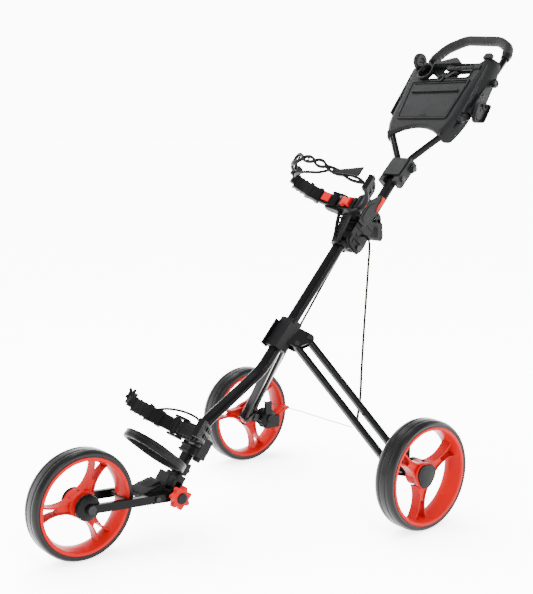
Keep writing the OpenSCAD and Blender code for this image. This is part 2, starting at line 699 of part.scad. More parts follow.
module brake_housing() difference() {
    union() {
        across([270, 34, rear_wheel_r - 6]) cylinder(r = 27, h = 40);
        translate([269.5, 22, rear_wheel_r - 34]) cube([41, 47, 34]);
        translate([264, 12, rear_wheel_r + 12]) cube([8, 22, 34]);
    }
    across([260, 0, rear_wheel_r]) cylinder(r = 18, h = 60);
    across([280, 34, rear_wheel_r - 6]) cylinder(r = 20, h = 40);
    translate([262, 16, rear_wheel_r + 22]) cube([12, 14, 14]);
    across([250, 62, rear_wheel_r - 14]) cylinder(r = 4, h = 80);
    translate([276, 50, rear_wheel_r - 40]) cube([28, 20, 60]);
}
module left_brake_housing() color(dark) side(true) brake_housing();
module right_brake_housing() color(dark) side(false) brake_housing();

module brake_pedal() color(red) side(false) {
    difference() {
        translate([277, 0, 0]) rotate([90, 0, 90]) linear_extrude(26) polygon([
            [56, 128], [62, 130], [84, 148], [104, 150], [110, 142], [98, 138], [80, 128], [72, 108], [68, 92],
            [58, 92], [60, 108], [54, 118]]);
        across([250, 62, rear_wheel_r - 14]) cylinder(r = 4 + running, h = 80);
    }
}

// ---- Upper tube ----
module upper_tube() color(black) fold_frame() difference() {
    union() {
        translate([0, 0, 20]) linear_extrude(tilt_along - 20) hollow_section(upper_w, upper_d, upper_round);
        translate([-20, -12, -8]) cube([40, 24, 30]);
        across([-20, 0, 0]) cylinder(r = 14, h = 40);
        translate([0, 0, tilt_along - 30]) linear_extrude(30) round_rect(upper_w, upper_d, upper_round);
        across([-upper_w / 2, 0, tilt_along]) cylinder(r = upper_d / 2, h = upper_w);
        across([-23, 2, 109]) cylinder(r = lever_pin_r, h = 46);
    }
    across([-30, 0, 0]) cylinder(r = 5 + running, h = 60);
    across([-30, 0, tilt_along]) cylinder(r = 4 + running, h = 60);
}

module latch_lever() color(dark) fold_frame() difference() {
    union() {
        for (sx = [-1, 1]) translate([sx * 19 - 2, 0, 0]) rotate([90, 0, 90]) linear_extrude(4)
            polygon([[-3, 104], [-3, 114], [4, 117], [16, 112], [24, 104], [20, 97], [12, 97]]);
        translate([-21, 0, 0]) rotate([90, 0, 90]) linear_extrude(42)
            polygon([[9.5, 94], [9.5, 104], [20, 106], [30, 101], [46, 80], [44, 72], [37, 73], [22, 93]]);
    }
    across([-30, 2, 109]) cylinder(r = lever_pin_r + running, h = 60);
    for (x = [-15, -1, 13]) translate([x - 1.5, 28, 70]) rotate([-32, 0, 0]) translate([0, 6.5, 0]) cube([5, 6, 50]);
}

// ---- Handle ----
module hinge_block() color(dark) handle_frame() difference() {
    union() {
        translate([-34, -16, 12]) cube([68, 30, 50]);
        for (sx = [-1, 1]) translate([sx * 25.2 - 8.6, -16, -20]) cube([17.2, 30, 34]);
        for (sx = [-1, 1]) translate([sx * 36 - 3, -4, 34]) cube([6, 18, 20]);
        translate([-30, -20, 0]) cube([60, 5, 58]);
    }
    across([-60, 0, 0]) cylinder(r = 4, h = 120);
    across([-60, 8, 44]) cylinder(r = 4, h = 120);
    across([-16.6, 0, 0]) cylinder(r = 11, h = 33.2);
    translate([-16.6, -12, -30]) cube([33.2, 40, 30]);
    loop_start(handle_r + 0.2);
}

module hinge_bolts() color(steel) handle_frame() {
    across([-38, 0, 0]) cylinder(r = 4, h = 76);
    across([-38, 0, 0]) cylinder(r = 7.5, h = 4);
    across([34, 0, 0]) cylinder(r = 7.5, h = 4);
    across([-43, 8, 44]) cylinder(r = 4, h = 86);
    across([-43, 8, 44]) cylinder(r = 7.5, h = 4);
    across([39, 8, 44]) cylinder(r = 7.5, h = 4);
}

// The handle's loop in its own frame, from one side's first point over the top to the other's
function loop_points(from) = let (last = len(handle_route) - 1) concat(
    [for (i = [from : last]) [handle_route[i][0], handle_route[i][2], handle_route[i][1]]],
    [for (i = [last : -1 : from]) [-handle_route[i][0], handle_route[i][2], handle_route[i][1]]]
);
module loop_bar(from, r) sweep(rounded(loop_points(from), 40), r, 16, [0, 1, 0]);
module loop_side(last, r) for (sx = [-1, 1])
    rod_route([for (i = [0 : last]) [sx * handle_route[i][0], handle_route[i][2], handle_route[i][1]]], r);

module loop_start(r) for (sx = [-1, 1])
    sweep(rounded([for (i = [0 : 2]) [sx * handle_route[i][0], handle_route[i][2], handle_route[i][1]]], 40),
        r, 16, [0, 1, 0]);

module handle_tube() color(black) handle_frame() loop_bar(0, handle_r);

module handle_grip() color(black) handle_frame() difference() {
    loop_bar(grip_from, grip_r);
    loop_bar(grip_from - 1, handle_r + 0.2);
}

// Console outline across and up the slope
module console_outline(inset) {
    difference() {
        polygon([
            [-95 + inset, 122 + inset], [-132 + inset, 184], [-147 + inset, 290], [-147 + inset, 372],
            [-112, 390 - inset], [-60, 402 - inset], [60, 402 - inset], [112, 390 - inset],
            [147 - inset, 372], [147 - inset, 290], [132 - inset, 184], [95 - inset, 122 + inset]]);
        translate([0, 26]) circle(r = 129 + inset, $fn = 96);
    }
}
module upright(y, t) translate([0, y, 0]) rotate([90, 0, 0]) linear_extrude(t) children();

module console_shell() color(dark) handle_frame() {
    difference() {
        union() {
            upright(console_back, console_back - console_face) console_outline(0);
            for (sx = [-1, 1]) translate([sx * 145.5 - 2, console_back - 1, 210]) cube([4, 24, 160]);
            translate([143.5, -16, 248]) cube([4, 22, 28]);
            across([146, -4, 262]) cylinder(r = 9, h = 4.6);
            across([146, -4, 262]) cylinder(r = 4, h = 17);
            upright(console_face, 3) difference() {
                translate([0, 244]) round_rect(216, 128, 14);
                translate([0, 244]) round_rect(202, 114, 9);
            }
        }
        upright(console_back + 1, 10) console_outline(4);
        // Tray windows beside the cross bar
        upright(0, 60) {
            translate([-62, 346]) round_rect(84, 44, 12);
            translate([36, 356]) round_rect(76, 26, 8);
        }
        // Tee holes down the right edge
        for (z = [252 : 16 : 332]) translate([-138, -60, z]) rotate([-90, 0, 0]) cylinder(r = 3, h = 60);
        loop_side(5, handle_r + 0.4);
    }
    // Ball ring and ear clip
    difference() {
        translate([-72, -50, 346]) rotate([-90, 0, 0]) cylinder(r = 25, h = 12);
        translate([-72, -60, 346]) rotate([-90, 0, 0]) cylinder(r = 20, h = 40);
    }
    translate([-30, -40, 322]) cube([8, 8, 48]);
    // Ears and pins of the lid's hinge
    for (sx = [-1, 1]) translate(lid_hinge) {
        translate([sx * 97.6 - 1.4, -2, -2]) cube([2.8, 4.6, 4]);
        across([sx * 94 - 2.5, 0, 0]) cylinder(r = lid_pin_r, h = 5);
    }
    difference() {
        across([-136, -58, 372]) cylinder(r = 19, h = 9);
        across([-140, -60, 374]) cylinder(r = 9, h = 20);
        translate([-150, -41, 340]) cube([30, 40, 60]);
    }
}

module scorecard_lid() color(dark) handle_frame() difference() {
    union() {
        upright(console_face - 1, 3) translate([0, 244]) round_rect(198, 110, 8);
        translate([-96, -49, 284]) cube([192, 3.2, 5]);
        translate(lid_hinge) across([-95.6, 0, 0]) cylinder(r = 2, h = 191.2);
    }
    translate([-100, -46.5, 279]) cube([200, 2, 2.5]);
    for (sx = [-1, 1]) {
        translate([sx * 98 - 2.4, -50, 294]) cube([4.8, 10, 10]);
        translate(lid_hinge) across([sx * 93.5 - 2.6, 0, 0]) cylinder(r = lid_pin_r + running, h = 5.2);
    }
}

module umbrella_holder() color(dark) handle_frame() translate([151, -4, 262]) {
    difference() {
        union() {
            translate([0, -9, -9]) cube([16, 18, 18]);
            translate([30, 0, -25]) cylinder(r = 17.5, h = 50);
        }
        translate([30, 0, -30]) cylinder(r = 14, h = 60);
        translate([30, -8, -30]) cube([30, 16, 60]);
        across([-1, 0, 0]) cylinder(r = 4 + running, h = 14);
    }
}

module side_knob() color(dark) handle_frame() across([147.9, -18, 338]) {
    cylinder(r = 5, h = 6);
    translate([0, 0, 5]) difference() {
        cylinder(r = 11, h = 11);
        for (a = [0 : 45 : 359]) rotate(a) translate([12.2, 0, -1]) cylinder(r = 2.4, h = 14);
    }
}

// ---- Cables ----
module right_brake_cable() color(black) placed() sweep(right_cable_route, cable_r);
module left_brake_cable() color(black) placed() sweep(left_cable_route, cable_r);
module cross_wire() color(steel) placed() sweep(cross_route, 1.2, 8, [0, 0, 1]);

main_tube();
junction_housing();
frame_screws();
pivot_pins();
fold_channel();
tube_collar();
cradle_block();
cradle_cheeks();
cradle_trim();
lower_bracket();
bag_hoop();
fork_knuckle();
right_brake_cable();
left_brake_cable();
cross_wire();
cradle_button();
arm_button();
left_arm();
right_arm();
bag_strap();
lower_left_arm();
lower_right_arm();
fork_arms();
fork_brace();
fork_bolts();
front_axle();
front_hub_covers();
star_knob();
front_tyre();
front_rim();
front_bearings();
left_rear_leg();
left_front_leg();
left_hub_bracket();
left_axle();
left_brake_housing();
left_tyre();
left_rim();
left_bearings();
left_hub_cap();
right_rear_leg();
right_front_leg();
right_hub_bracket();
right_axle();
right_brake_housing();
right_tyre();
right_rim();
right_bearings();
right_hub_cap();
brake_pedal();
upper_tube();
latch_lever();
hinge_block();
hinge_bolts();
handle_tube();
handle_grip();
console_shell();
scorecard_lid();
umbrella_holder();
side_knob();
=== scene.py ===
"""Looks of the golf push trolley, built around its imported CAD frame.

Every shape is written in millimetres in the local frame of the tube or wheel that it belongs to,
and build() brings it to metres in the shared frame.
"""
import json
import math

import bmesh
import bpy
from mathutils import Matrix, Vector
from mathutils.geometry import tessellate_polygon

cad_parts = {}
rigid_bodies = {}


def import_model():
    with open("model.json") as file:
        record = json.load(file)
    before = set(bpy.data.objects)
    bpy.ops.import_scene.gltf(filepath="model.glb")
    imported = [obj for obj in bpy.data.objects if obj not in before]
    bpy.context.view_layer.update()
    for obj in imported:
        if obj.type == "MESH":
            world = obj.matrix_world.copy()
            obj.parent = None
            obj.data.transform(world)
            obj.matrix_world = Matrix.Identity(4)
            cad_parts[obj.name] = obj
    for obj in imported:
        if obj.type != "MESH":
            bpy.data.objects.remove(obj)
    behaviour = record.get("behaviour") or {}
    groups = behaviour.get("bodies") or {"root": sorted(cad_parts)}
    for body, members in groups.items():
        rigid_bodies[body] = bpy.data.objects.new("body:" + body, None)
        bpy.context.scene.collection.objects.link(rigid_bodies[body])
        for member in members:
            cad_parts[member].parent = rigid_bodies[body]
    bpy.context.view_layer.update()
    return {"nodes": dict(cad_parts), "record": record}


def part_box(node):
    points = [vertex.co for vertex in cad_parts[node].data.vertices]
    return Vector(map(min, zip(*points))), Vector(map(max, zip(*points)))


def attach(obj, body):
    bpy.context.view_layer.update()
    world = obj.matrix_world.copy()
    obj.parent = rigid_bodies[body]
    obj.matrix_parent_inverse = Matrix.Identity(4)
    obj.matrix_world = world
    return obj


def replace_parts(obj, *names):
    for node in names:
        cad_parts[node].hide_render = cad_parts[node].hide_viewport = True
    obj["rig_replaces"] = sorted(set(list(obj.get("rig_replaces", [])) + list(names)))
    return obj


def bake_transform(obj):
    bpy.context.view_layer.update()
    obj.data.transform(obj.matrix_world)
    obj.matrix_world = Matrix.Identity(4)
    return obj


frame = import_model()

MM = 0.001


def middle(node):
    """Middle of a CAD node's box, in millimetres."""
    low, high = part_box(node)
    return (low + high) / 2 / MM


# ---- Places and sizes, in millimetres, measured from the floor under the rear axle ----
AXLE_Y = middle("left_tyre").y
REAR_R = 135.0
FRONT_R = 126.0
REAR_W = 55.0
FRONT_W = 53.0
TYRE_DEPTH = 16.0
REAR_TRACK = 684.0
SLOPE_LOW, SLOPE_MID, SLOPE_UP, SLOPE_HANDLE = 54.0, 31.3, 49.0, 46.0
MAIN_W, MAIN_D = 36.0, 17.0
LOW_LEN, MID_LEN, UP_LEN = 170.0, 206.0, 522.0
LOW_SEAT_ALONG = 152
TILT_ALONG = 231.0
HANDLE_R = 9.2
GRIP_R = 14.5


def uphill(slope):
    return Vector((0, math.cos(math.radians(slope)), math.sin(math.radians(slope))))


TUBE_START = Vector((0, -495, 112))
BEND_A = TUBE_START + LOW_LEN * uphill(SLOPE_LOW)
BEND_B = BEND_A + MID_LEN * uphill(SLOPE_MID)
TUBE_END = BEND_B + UP_LEN * uphill(SLOPE_UP)
FOLD_AT = Vector((0, 80, 643.5))
TILT_AT = FOLD_AT + TILT_ALONG * uphill(SLOPE_UP)
LOW_SEAT = TUBE_START + LOW_SEAT_ALONG * uphill(SLOPE_LOW)
FORK_AT = Vector((0, -505, 107))
FRONT_AXLE = Vector((0, -730, FRONT_R))
# How far the main tube's middle lies from the fold frame's origin, across the slope
main_run = uphill(SLOPE_UP)
MAIN_BEHIND = (FOLD_AT - BEND_B).dot(Vector((0, main_run.z, -main_run.y)))


def columns(x, y, z, at):
    m = Matrix.Identity(4)
    for i, axis in enumerate((x, y, z, at)):
        for row in range(3):
            m[row][i] = axis[row]
    return m


def placed(m):
    """A local frame brought to the shared frame, in millimetres."""
    return Matrix.Translation((0, AXLE_Y, 0)) @ m


def sloped(at, slope):
    """z runs up the slope and y points to the tube's underside."""
    z = uphill(slope)
    return placed(columns(Vector((1, 0, 0)), Vector((0, z.z, -z.y)), z, at))


PLAIN = placed(Matrix.Identity(4))
FOLD = sloped(FOLD_AT, SLOPE_UP)
LOW = sloped(LOW_SEAT, SLOPE_LOW)
HANDLE = sloped(TILT_AT, SLOPE_HANDLE)
MIRROR = Matrix.Scale(-1, 4, (1, 0, 0))


def across(at):
    """z runs along the trolley's +X."""
    return columns(Vector((0, 0, -1)), Vector((0, 1, 0)), Vector((1, 0, 0)), Vector(at))


def facing(at):
    """z runs along the local frame's +y."""
    return Matrix.Translation(at) @ Matrix.Rotation(math.radians(-90), 4, "X")


fork_run = FRONT_AXLE - FORK_AT
FORK_LEN = fork_run.length
FORK = placed(columns(Vector((1, 0, 0)), -fork_run.normalized(),
                      Vector((1, 0, 0)).cross(-fork_run.normalized()), FORK_AT))


def side(left):
    return PLAIN if left else PLAIN @ MIRROR


# ---- Mesh parts: each is (points, faces) ----
def lathe(profile, steps=96):
    """Turns a closed profile of (radius, height) about z."""
    n = len(profile)
    points = [(r * math.cos(a), r * math.sin(a), z)
              for a in (2 * math.pi * k / steps for k in range(steps)) for r, z in profile]
    faces = [(k * n + i, ((k + 1) % steps) * n + i, ((k + 1) % steps) * n + (i + 1) % n, k * n + (i + 1) % n)
             for k in range(steps) for i in range(n)]
    return points, faces


def loft(rings, capped=True):
    """Joins rings of equal length into a skin."""
    n = len(rings[0])
    points = [tuple(p) for ring in rings for p in ring]
    faces = [(r * n + i, r * n + (i + 1) % n, (r + 1) * n + (i + 1) % n, (r + 1) * n + i)
             for r in range(len(rings) - 1) for i in range(n)]
    if capped:
        faces.append(tuple(reversed(range(n))))
        faces.append(tuple(range((len(rings) - 1) * n, len(rings) * n)))
    return points, faces


def slab(outline, low, high):
    """An outline of (x, y) raised from low to high."""
    return loft([[(x, y, z) for x, y in outline] for z in (low, high)])


def side_slab(outline, x0, x1):
    """An outline of (y, z) that is x0 to x1 across."""
    points, faces = slab(outline, x0, x1)
    return [(z, x, y) for x, y, z in points], faces


def face_slab(outline, y0, y1):
    """An outline of (x, z) that is y0 to y1 deep."""
    points, faces = slab(outline, y0, y1)
    return [(x, z, y) for x, y, z in points], [tuple(reversed(f)) for f in faces]


def block(x0, y0, z0, x1, y1, z1):
    return slab([(x0, y0), (x1, y0), (x1, y1), (x0, y1)], z0, z1)


def circle(r, steps=32):
    return [(r * math.cos(2 * math.pi * k / steps), r * math.sin(2 * math.pi * k / steps))
            for k in range(steps)]


def rounded_rect(w, d, r, steps=6, at=(0, 0)):
    made = []
    for q, (sx, sy) in enumerate(((1, 1), (-1, 1), (-1, -1), (1, -1))):
        for k in range(steps + 1):
            a = math.pi / 2 * (q + k / steps)
            made.append((at[0] + sx * (w / 2 - r) + r * math.cos(a),
                         at[1] + sy * (d / 2 - r) + r * math.sin(a)))
    return made


def cut_corner(a, b, c, cut, steps):
    """The curve that replaces corner b, from back towards a to on towards c."""
    p = b + (a - b).normalized() * cut
    q = b + (c - b).normalized() * cut
    return [(1 - t) ** 2 * p + 2 * t * (1 - t) * b + t * t * q for t in (k / steps for k in range(steps + 1))]


def rounded_polygon(corners, cut):
    """A closed outline with each corner replaced by a curve that starts cut before it."""
    pts = [Vector((x, y, 0)) for x, y in corners]
    made = []
    for a, b, c in zip([pts[-1]] + pts[:-1], pts, pts[1:] + [pts[0]]):
        made += cut_corner(a, b, c, min(cut, (b - a).length * 0.45, (c - b).length * 0.45), 5)
    return [(p.x, p.y) for p in made]


def smooth_route(corners, cut, steps=10):
    """A route with each inner corner replaced by a curve that starts cut before it."""
    pts = [Vector(p) for p in corners]
    made = [pts[0]]
    for a, b, c in zip(pts, pts[1:], pts[2:]):
        made += cut_corner(a, b, c, min(cut, (b - a).length * 0.48, (c - b).length * 0.48), steps)
    made.append(pts[-1])
    return made


def moved(part, matrix):
    points, faces = part
    return [tuple(matrix @ Vector(p)) for p in points], faces


def shifted(part, at):
    return moved(part, Matrix.Translation(at))


def turned(part, degrees):
    return moved(part, Matrix.Rotation(math.radians(degrees), 4, "Z"))


def mirrored(part):
    """The part's mirror image across x."""
    points, faces = part
    return [(-x, y, z) for x, y, z in points], [tuple(reversed(f)) for f in faces]


def both_sides(part):
    return joined(part, mirrored(part))


def joined(*parts):
    points, faces = [], []
    for p, f in parts:
        start = len(points)
        points += p
        faces += [tuple(start + i for i in face) for face in f]
    return points, faces


def spline(corners, steps):
    """A smooth curve through every point."""
    pts = [Vector(p) for p in corners]
    pts = [2 * pts[0] - pts[1]] + pts + [2 * pts[-1] - pts[-2]]
    made = []
    for p0, p1, p2, p3 in zip(pts, pts[1:], pts[2:], pts[3:]):
        for k in range(steps):
            t = k / steps
            made.append(0.5 * (2 * p1 + (p2 - p0) * t + (2 * p0 - 5 * p1 + 4 * p2 - p3) * t * t
                               + (3 * p1 - p0 - 3 * p2 + p3) * t ** 3))
    made.append(pts[-2])
    return made


def length_of(route):
    return sum((b - a).length for a, b in zip(route, route[1:]))


def evenly(points, step):
    """The same line with points at an even spacing."""
    lengths = [0.0]
    for a, b in zip(points, points[1:]):
        lengths.append(lengths[-1] + (b - a).length)
    count = max(2, round(lengths[-1] / step))
    made, i = [], 0
    for k in range(count + 1):
        want = lengths[-1] * k / count
        while i < len(points) - 2 and lengths[i + 1] < want:
            i += 1
        share = (want - lengths[i]) / max(lengths[i + 1] - lengths[i], 1e-9)
        made.append(points[i].lerp(points[i + 1], min(max(share, 0), 1)))
    return made


def curve(corners, spacing, steps=10):
    """A smooth curve through every corner, with points at an even spacing."""
    return evenly(spline(corners, steps), spacing)


def resampled(outline, count):
    """The same closed outline with count points, so that two outlines can be joined."""
    loop = [Vector((x, y, 0)) for x, y in outline]
    loop.append(loop[0])
    return [(p.x, p.y) for p in evenly(loop, length_of(loop) / count)[:count]]


def sweep(points, section, ref=(1, 0, 0), closed=False):
    """Carries a section of (along ref, across ref) points down a route.
    section may be a function of the distance along it."""
    ref = Vector(ref)
    n = len(points)
    rings, distance = [], 0.0
    for i, p in enumerate(points):
        if closed:
            t = (points[(i + 1) % n] - points[i - 1]).normalized()
        else:
            t = (points[min(i + 1, n - 1)] - points[max(i - 1, 0)]).normalized()
        u = (ref - ref.dot(t) * t).normalized()
        v = t.cross(u)
        distance += (p - points[i - 1]).length if i else 0
        outline = section(distance) if callable(section) else section
        rings.append([p + a * u + b * v for a, b in outline])
    if closed:
        return loft(rings + [rings[0]], capped=False)
    return loft(rings)


def rod(a, b, r, steps=24):
    a, b = Vector(a), Vector(b)
    t = (b - a).normalized()
    ref = Vector((1, 0, 0)) if abs(t.x) < 0.9 else Vector((0, 0, 1))
    return sweep([a, b], circle(r, steps), ref)


def bar(a, b, wide, deep, ref=(1, 0, 0), r=1.5):
    """A straight bar with a rounded rectangular section."""
    return sweep([Vector(a), Vector(b)], rounded_rect(wide, deep, r, 3), ref)


def ring(outer, inner, y0, y1):
    """A frame between two outlines of (x, z) with equal counts, y0 to y1 deep."""
    rings = [[(x, y, z) for x, z in line] for line, y in ((outer, y0), (inner, y0), (inner, y1), (outer, y1))]
    return loft(rings + [rings[0]], capped=False)


def plate(outer, holes, y0, y1):
    """An outline of (x, z) with holes, y0 to y1 deep."""
    lines = [outer] + holes
    flat = [p for line in lines for p in line]
    tris = tessellate_polygon([[Vector((x, z, 0)) for x, z in line] for line in lines])
    n = len(flat)
    points = [(x, y0, z) for x, z in flat] + [(x, y1, z) for x, z in flat]
    faces = [tuple(t) for t in tris] + [tuple(n + i for i in t) for t in tris]
    start = 0
    for line in lines:
        m = len(line)
        faces += [(start + i, start + (i + 1) % m, n + start + (i + 1) % m, n + start + i) for i in range(m)]
        start += m
    return points, faces


def domed(outline, steps):
    """A cap whose outline is scaled and raised ring by ring."""
    return loft([[(x * k, y * k, z) for x, y in outline] for k, z in steps])


def inward(outline):
    """The unit normal at each point, towards the inside of an outline that runs anticlockwise."""
    made = []
    for (ax, az), (bx, bz) in zip([outline[-1]] + outline[:-1], outline[1:] + [outline[0]]):
        run = Vector((bx - ax, bz - az)).normalized()
        made.append((-run.y, run.x))
    return made


# ---- Materials ----
def node_tree(name):
    m = bpy.data.materials.new(name)
    m.use_nodes = True
    return m, m.node_tree.nodes, m.node_tree.links, m.node_tree.nodes["Principled BSDF"]


def noise(nodes, links, where, scale, detail=3.0, rough=0.55):
    n = nodes.new("ShaderNodeTexNoise")
    n.inputs["Scale"].default_value = scale
    n.inputs["Detail"].default_value = detail
    n.inputs["Roughness"].default_value = rough
    links.new(where, n.inputs["Vector"])
    return n.outputs["Fac"]


def ranged(nodes, links, value, low, high, start=0.3, end=0.7):
    n = nodes.new("ShaderNodeMapRange")
    for word, number in (("From Min", start), ("From Max", end), ("To Min", low), ("To Max", high)):
        n.inputs[word].default_value = number
    links.new(value, n.inputs["Value"])
    return n.outputs["Result"]


def shaded(colour, factor):
    return tuple(min(c * factor, 1.0) for c in colour[:3]) + (1.0,)


DUST = (0.1, 0.097, 0.094, 1)


def surface(name, colour, rough, spread, patch, vary, grain, relief, depth, metallic=0.0, coat=0.0,
            specular=0.5, cells=0.0, dust=0.0):
    """A procedural finish: broad colour and gloss variation, plus a fine moulded or sprayed grain."""
    m, nodes, links, shader = node_tree(name)
    where = nodes.new("ShaderNodeTexCoord").outputs["Object"]
    broad = noise(nodes, links, where, patch, 4.0)
    mix = nodes.new("ShaderNodeMix")
    mix.data_type = "RGBA"
    mix.inputs["A"].default_value = shaded(colour, 1 - vary)
    mix.inputs["B"].default_value = shaded(colour, 1 + vary)
    links.new(ranged(nodes, links, broad, 0, 1), mix.inputs["Factor"])
    paint = mix.outputs["Result"]
    if dust:
        layer = nodes.new("ShaderNodeMix")
        layer.data_type = "RGBA"
        layer.inputs["B"].default_value = DUST
        links.new(paint, layer.inputs["A"])
        links.new(ranged(nodes, links, noise(nodes, links, where, patch * 6, 6.0, 0.7), 0, dust, 0.45, 0.85),
                  layer.inputs["Factor"])
        paint = layer.outputs["Result"]
    links.new(paint, shader.inputs["Base Color"])
    gloss = noise(nodes, links, where, patch * 3.1, 5.0, 0.65)
    links.new(ranged(nodes, links, gloss, rough - spread, rough + spread), shader.inputs["Roughness"])
    if cells:
        fine = nodes.new("ShaderNodeTexVoronoi")
        fine.inputs["Scale"].default_value = cells
        links.new(where, fine.inputs["Vector"])
        height = fine.outputs["Distance"]
    else:
        height = noise(nodes, links, where, grain, 2.0)
    bump = nodes.new("ShaderNodeBump")
    bump.inputs["Strength"].default_value = relief
    bump.inputs["Distance"].default_value = depth
    links.new(height, bump.inputs["Height"])
    links.new(bump.outputs["Normal"], shader.inputs["Normal"])
    shader.inputs["Metallic"].default_value = metallic
    shader.inputs["Coat Weight"].default_value = coat
    shader.inputs["Coat Roughness"].default_value = 0.12
    shader.inputs["Specular IOR Level"].default_value = specular
    return m


BLACK = (0.0008, 0.0008, 0.0009)
MOULDED = (0.0011, 0.0011, 0.0012)
CHARCOAL = (0.0023, 0.0024, 0.0025)
RUBBER = (0.0017, 0.0017, 0.0018)
RED = (0.15, 0.0005, 0.0009)

# Each finish: name, colour, roughness and its spread, patches per metre and their contrast,
# grains per metre, the relief's strength and its depth in metres, then the options
FINISHES = {
    "black_metal": ("satin_black_paint", BLACK, 0.2, 0.05, 9, 0.1, 700, 0.12, 0.0001,
                    {"coat": 0.01, "specular": 0.03}),
    "black_plastic": ("moulded_black_plastic", MOULDED, 0.4, 0.07, 18, 0.14, 1300, 0.3, 0.0001,
                      {"specular": 0.04}),
    "grey_plastic": ("moulded_charcoal_plastic", CHARCOAL, 0.48, 0.06, 16, 0.1, 1500, 0.35, 0.0001,
                     {"specular": 0.04}),
    "red_plastic": ("red_moulded_plastic", RED, 0.36, 0.05, 12, 0.05, 800, 0.1, 0.0001, {"specular": 0.03}),
    "foam_tyre": ("foam_tyre", RUBBER, 0.34, 0.07, 20, 0.14, 1800, 0.35, 0.00014,
                  {"dust": 0.002, "specular": 0.07}),
    "foam_grip": ("foam_grip", (0.0016, 0.0016, 0.0017), 0.7, 0.06, 30, 0.15, 0, 0.5, 0.0002,
                  {"cells": 900.0, "specular": 0.1}),
    "strap_rubber": ("strap_rubber", RUBBER, 0.45, 0.06, 40, 0.12, 1200, 0.2, 0.0001, {"specular": 0.03}),
    "cable_jacket": ("cable_jacket", (0.0012, 0.0012, 0.0013), 0.4, 0.05, 60, 0.1, 900, 0.1, 0.00005,
                     {"specular": 0.03}),
    "bright_steel": ("bright_steel", (0.10, 0.10, 0.104), 0.3, 0.08, 60, 0.1, 2500, 0.12, 0.00005,
                     {"metallic": 1.0}),
    "black_steel": ("blackened_steel", (0.006, 0.006, 0.0063), 0.36, 0.06, 60, 0.15, 1500, 0.15, 0.00006,
                    {"metallic": 0.6, "specular": 0.1}),
    # Two looks that share another finish's slot
    "deep_black": ("unlit_black_plastic", MOULDED, 0.6, 0.05, 18, 0.14, 1300, 0.3, 0.0001,
                   {"specular": 0.03}),
    "wire": ("plastic_coated_wire", (0.004, 0.004, 0.0042), 0.4, 0.06, 60, 0.1, 900, 0.1, 0.00005,
             {"specular": 0.1}),
}
MATS = {key: surface(*row, **options) for key, (*row, options) in FINISHES.items()}


# ---- Objects ----
def build(name, part, matrix, slot, body, replaces=(), bevel=0.0, bevel_steps=3, angle=38.0, look=None):
    points, faces = part
    mesh = bpy.data.meshes.new(name)
    to_metres = Matrix.Scale(MM, 4) @ matrix
    mesh.from_pydata([to_metres @ Vector(p) for p in points], [], faces)
    mesh.validate()
    piece = bpy.data.objects.new(name, mesh)
    bpy.context.scene.collection.objects.link(piece)
    tidy_mesh(mesh)
    finish_edges(piece, bevel, bevel_steps, angle)
    mesh.materials.append(MATS[look or slot])
    if isinstance(body, str):
        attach(piece, body)
    else:
        apply_modifiers(piece)
        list(body)
        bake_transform(piece)
    if replaces:
        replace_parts(piece, *replaces)
    return piece


def tidy_mesh(mesh):
    bm = bmesh.new()
    bm.from_mesh(mesh)
    bmesh.ops.remove_doubles(bm, verts=bm.verts, dist=0.00001)
    bmesh.ops.recalc_face_normals(bm, faces=bm.faces)
    bm.to_mesh(mesh)
    bm.free()


def round_edges(piece, width, steps, angle):
    m = piece.modifiers.new("round", "BEVEL")
    m.width = width * MM
    m.segments = steps
    m.limit_method = "ANGLE"
    m.angle_limit = math.radians(angle)
    m.use_clamp_overlap = True
    m.harden_normals = True


def finish_edges(piece, bevel, steps, angle):
    for face in piece.data.polygons:
        face.use_smooth = True
    if bevel:
        round_edges(piece, bevel, steps, angle)
    piece.modifiers.new("normals", "WEIGHTED_NORMAL").keep_sharp = True


def apply_modifiers(piece):
    dg = bpy.context.evaluated_depsgraph_get()
    made = bpy.data.meshes.new_from_object(piece.evaluated_get(dg))
    piece.modifiers.clear()
    piece.data = made


# ---- CAD nodes that stay: a finish for each, and softened edges ----
def dress_cad_nodes(replaced):
    slots = {row["node"]: row["material_slot"] for row in frame["record"]["subparts"]}
    for name, node in frame["nodes"].items():
        node.data.materials.clear()
        node.data.materials.append(MATS["black_steel" if slots[name] == "bright_steel" else slots[name]])
        if name in replaced:
            continue
        node.modifiers.new("weld", "WELD").merge_threshold = 0.00002
        round_edges(node, 0.9, 2, 35)


# ---- Wheels ----
FRONT_TURN, LEFT_TURN, RIGHT_TURN = 36.0, -5.0, 20.0
HUB_CAP_STEPS = [(1, 14.6), (1, 17.2), (0.98, 18.4), (0.93, 19.2), (0.86, 19.4), (0.84, 18.8), (0.81, 18.8),
                 (0.79, 19.5), (0.6, 20.2), (0.3, 20.7), (0.05, 20.8)]


def tyre_part(r, w):
    half = w / 2
    shoulder = [(r - TYRE_DEPTH - 0.2, half - 2.6), (r - 14.6, half - 1.5), (r - 12.5, half - 0.7),
                (r - 10, half - 0.2), (r - 8, half), (r - 6, half - 0.5), (r - 4.2, half - 1.9),
                (r - 2.9, half - 4.0), (r - 1.7, half - 6.6), (r - 0.9, half - 9)]
    tread = [(r - 0.35, 16.5), (r - 0.15, 12.2), (r - 0.3, 11.2), (r - 1.7, 10.4), (r - 1.7, 8.6),
             (r - 0.25, 7.8), (r - 0.05, 6.6), (r, 0)]
    outer = shoulder + tread
    return lathe(outer + [(a, -z) for a, z in reversed(outer[:-1])], 160)


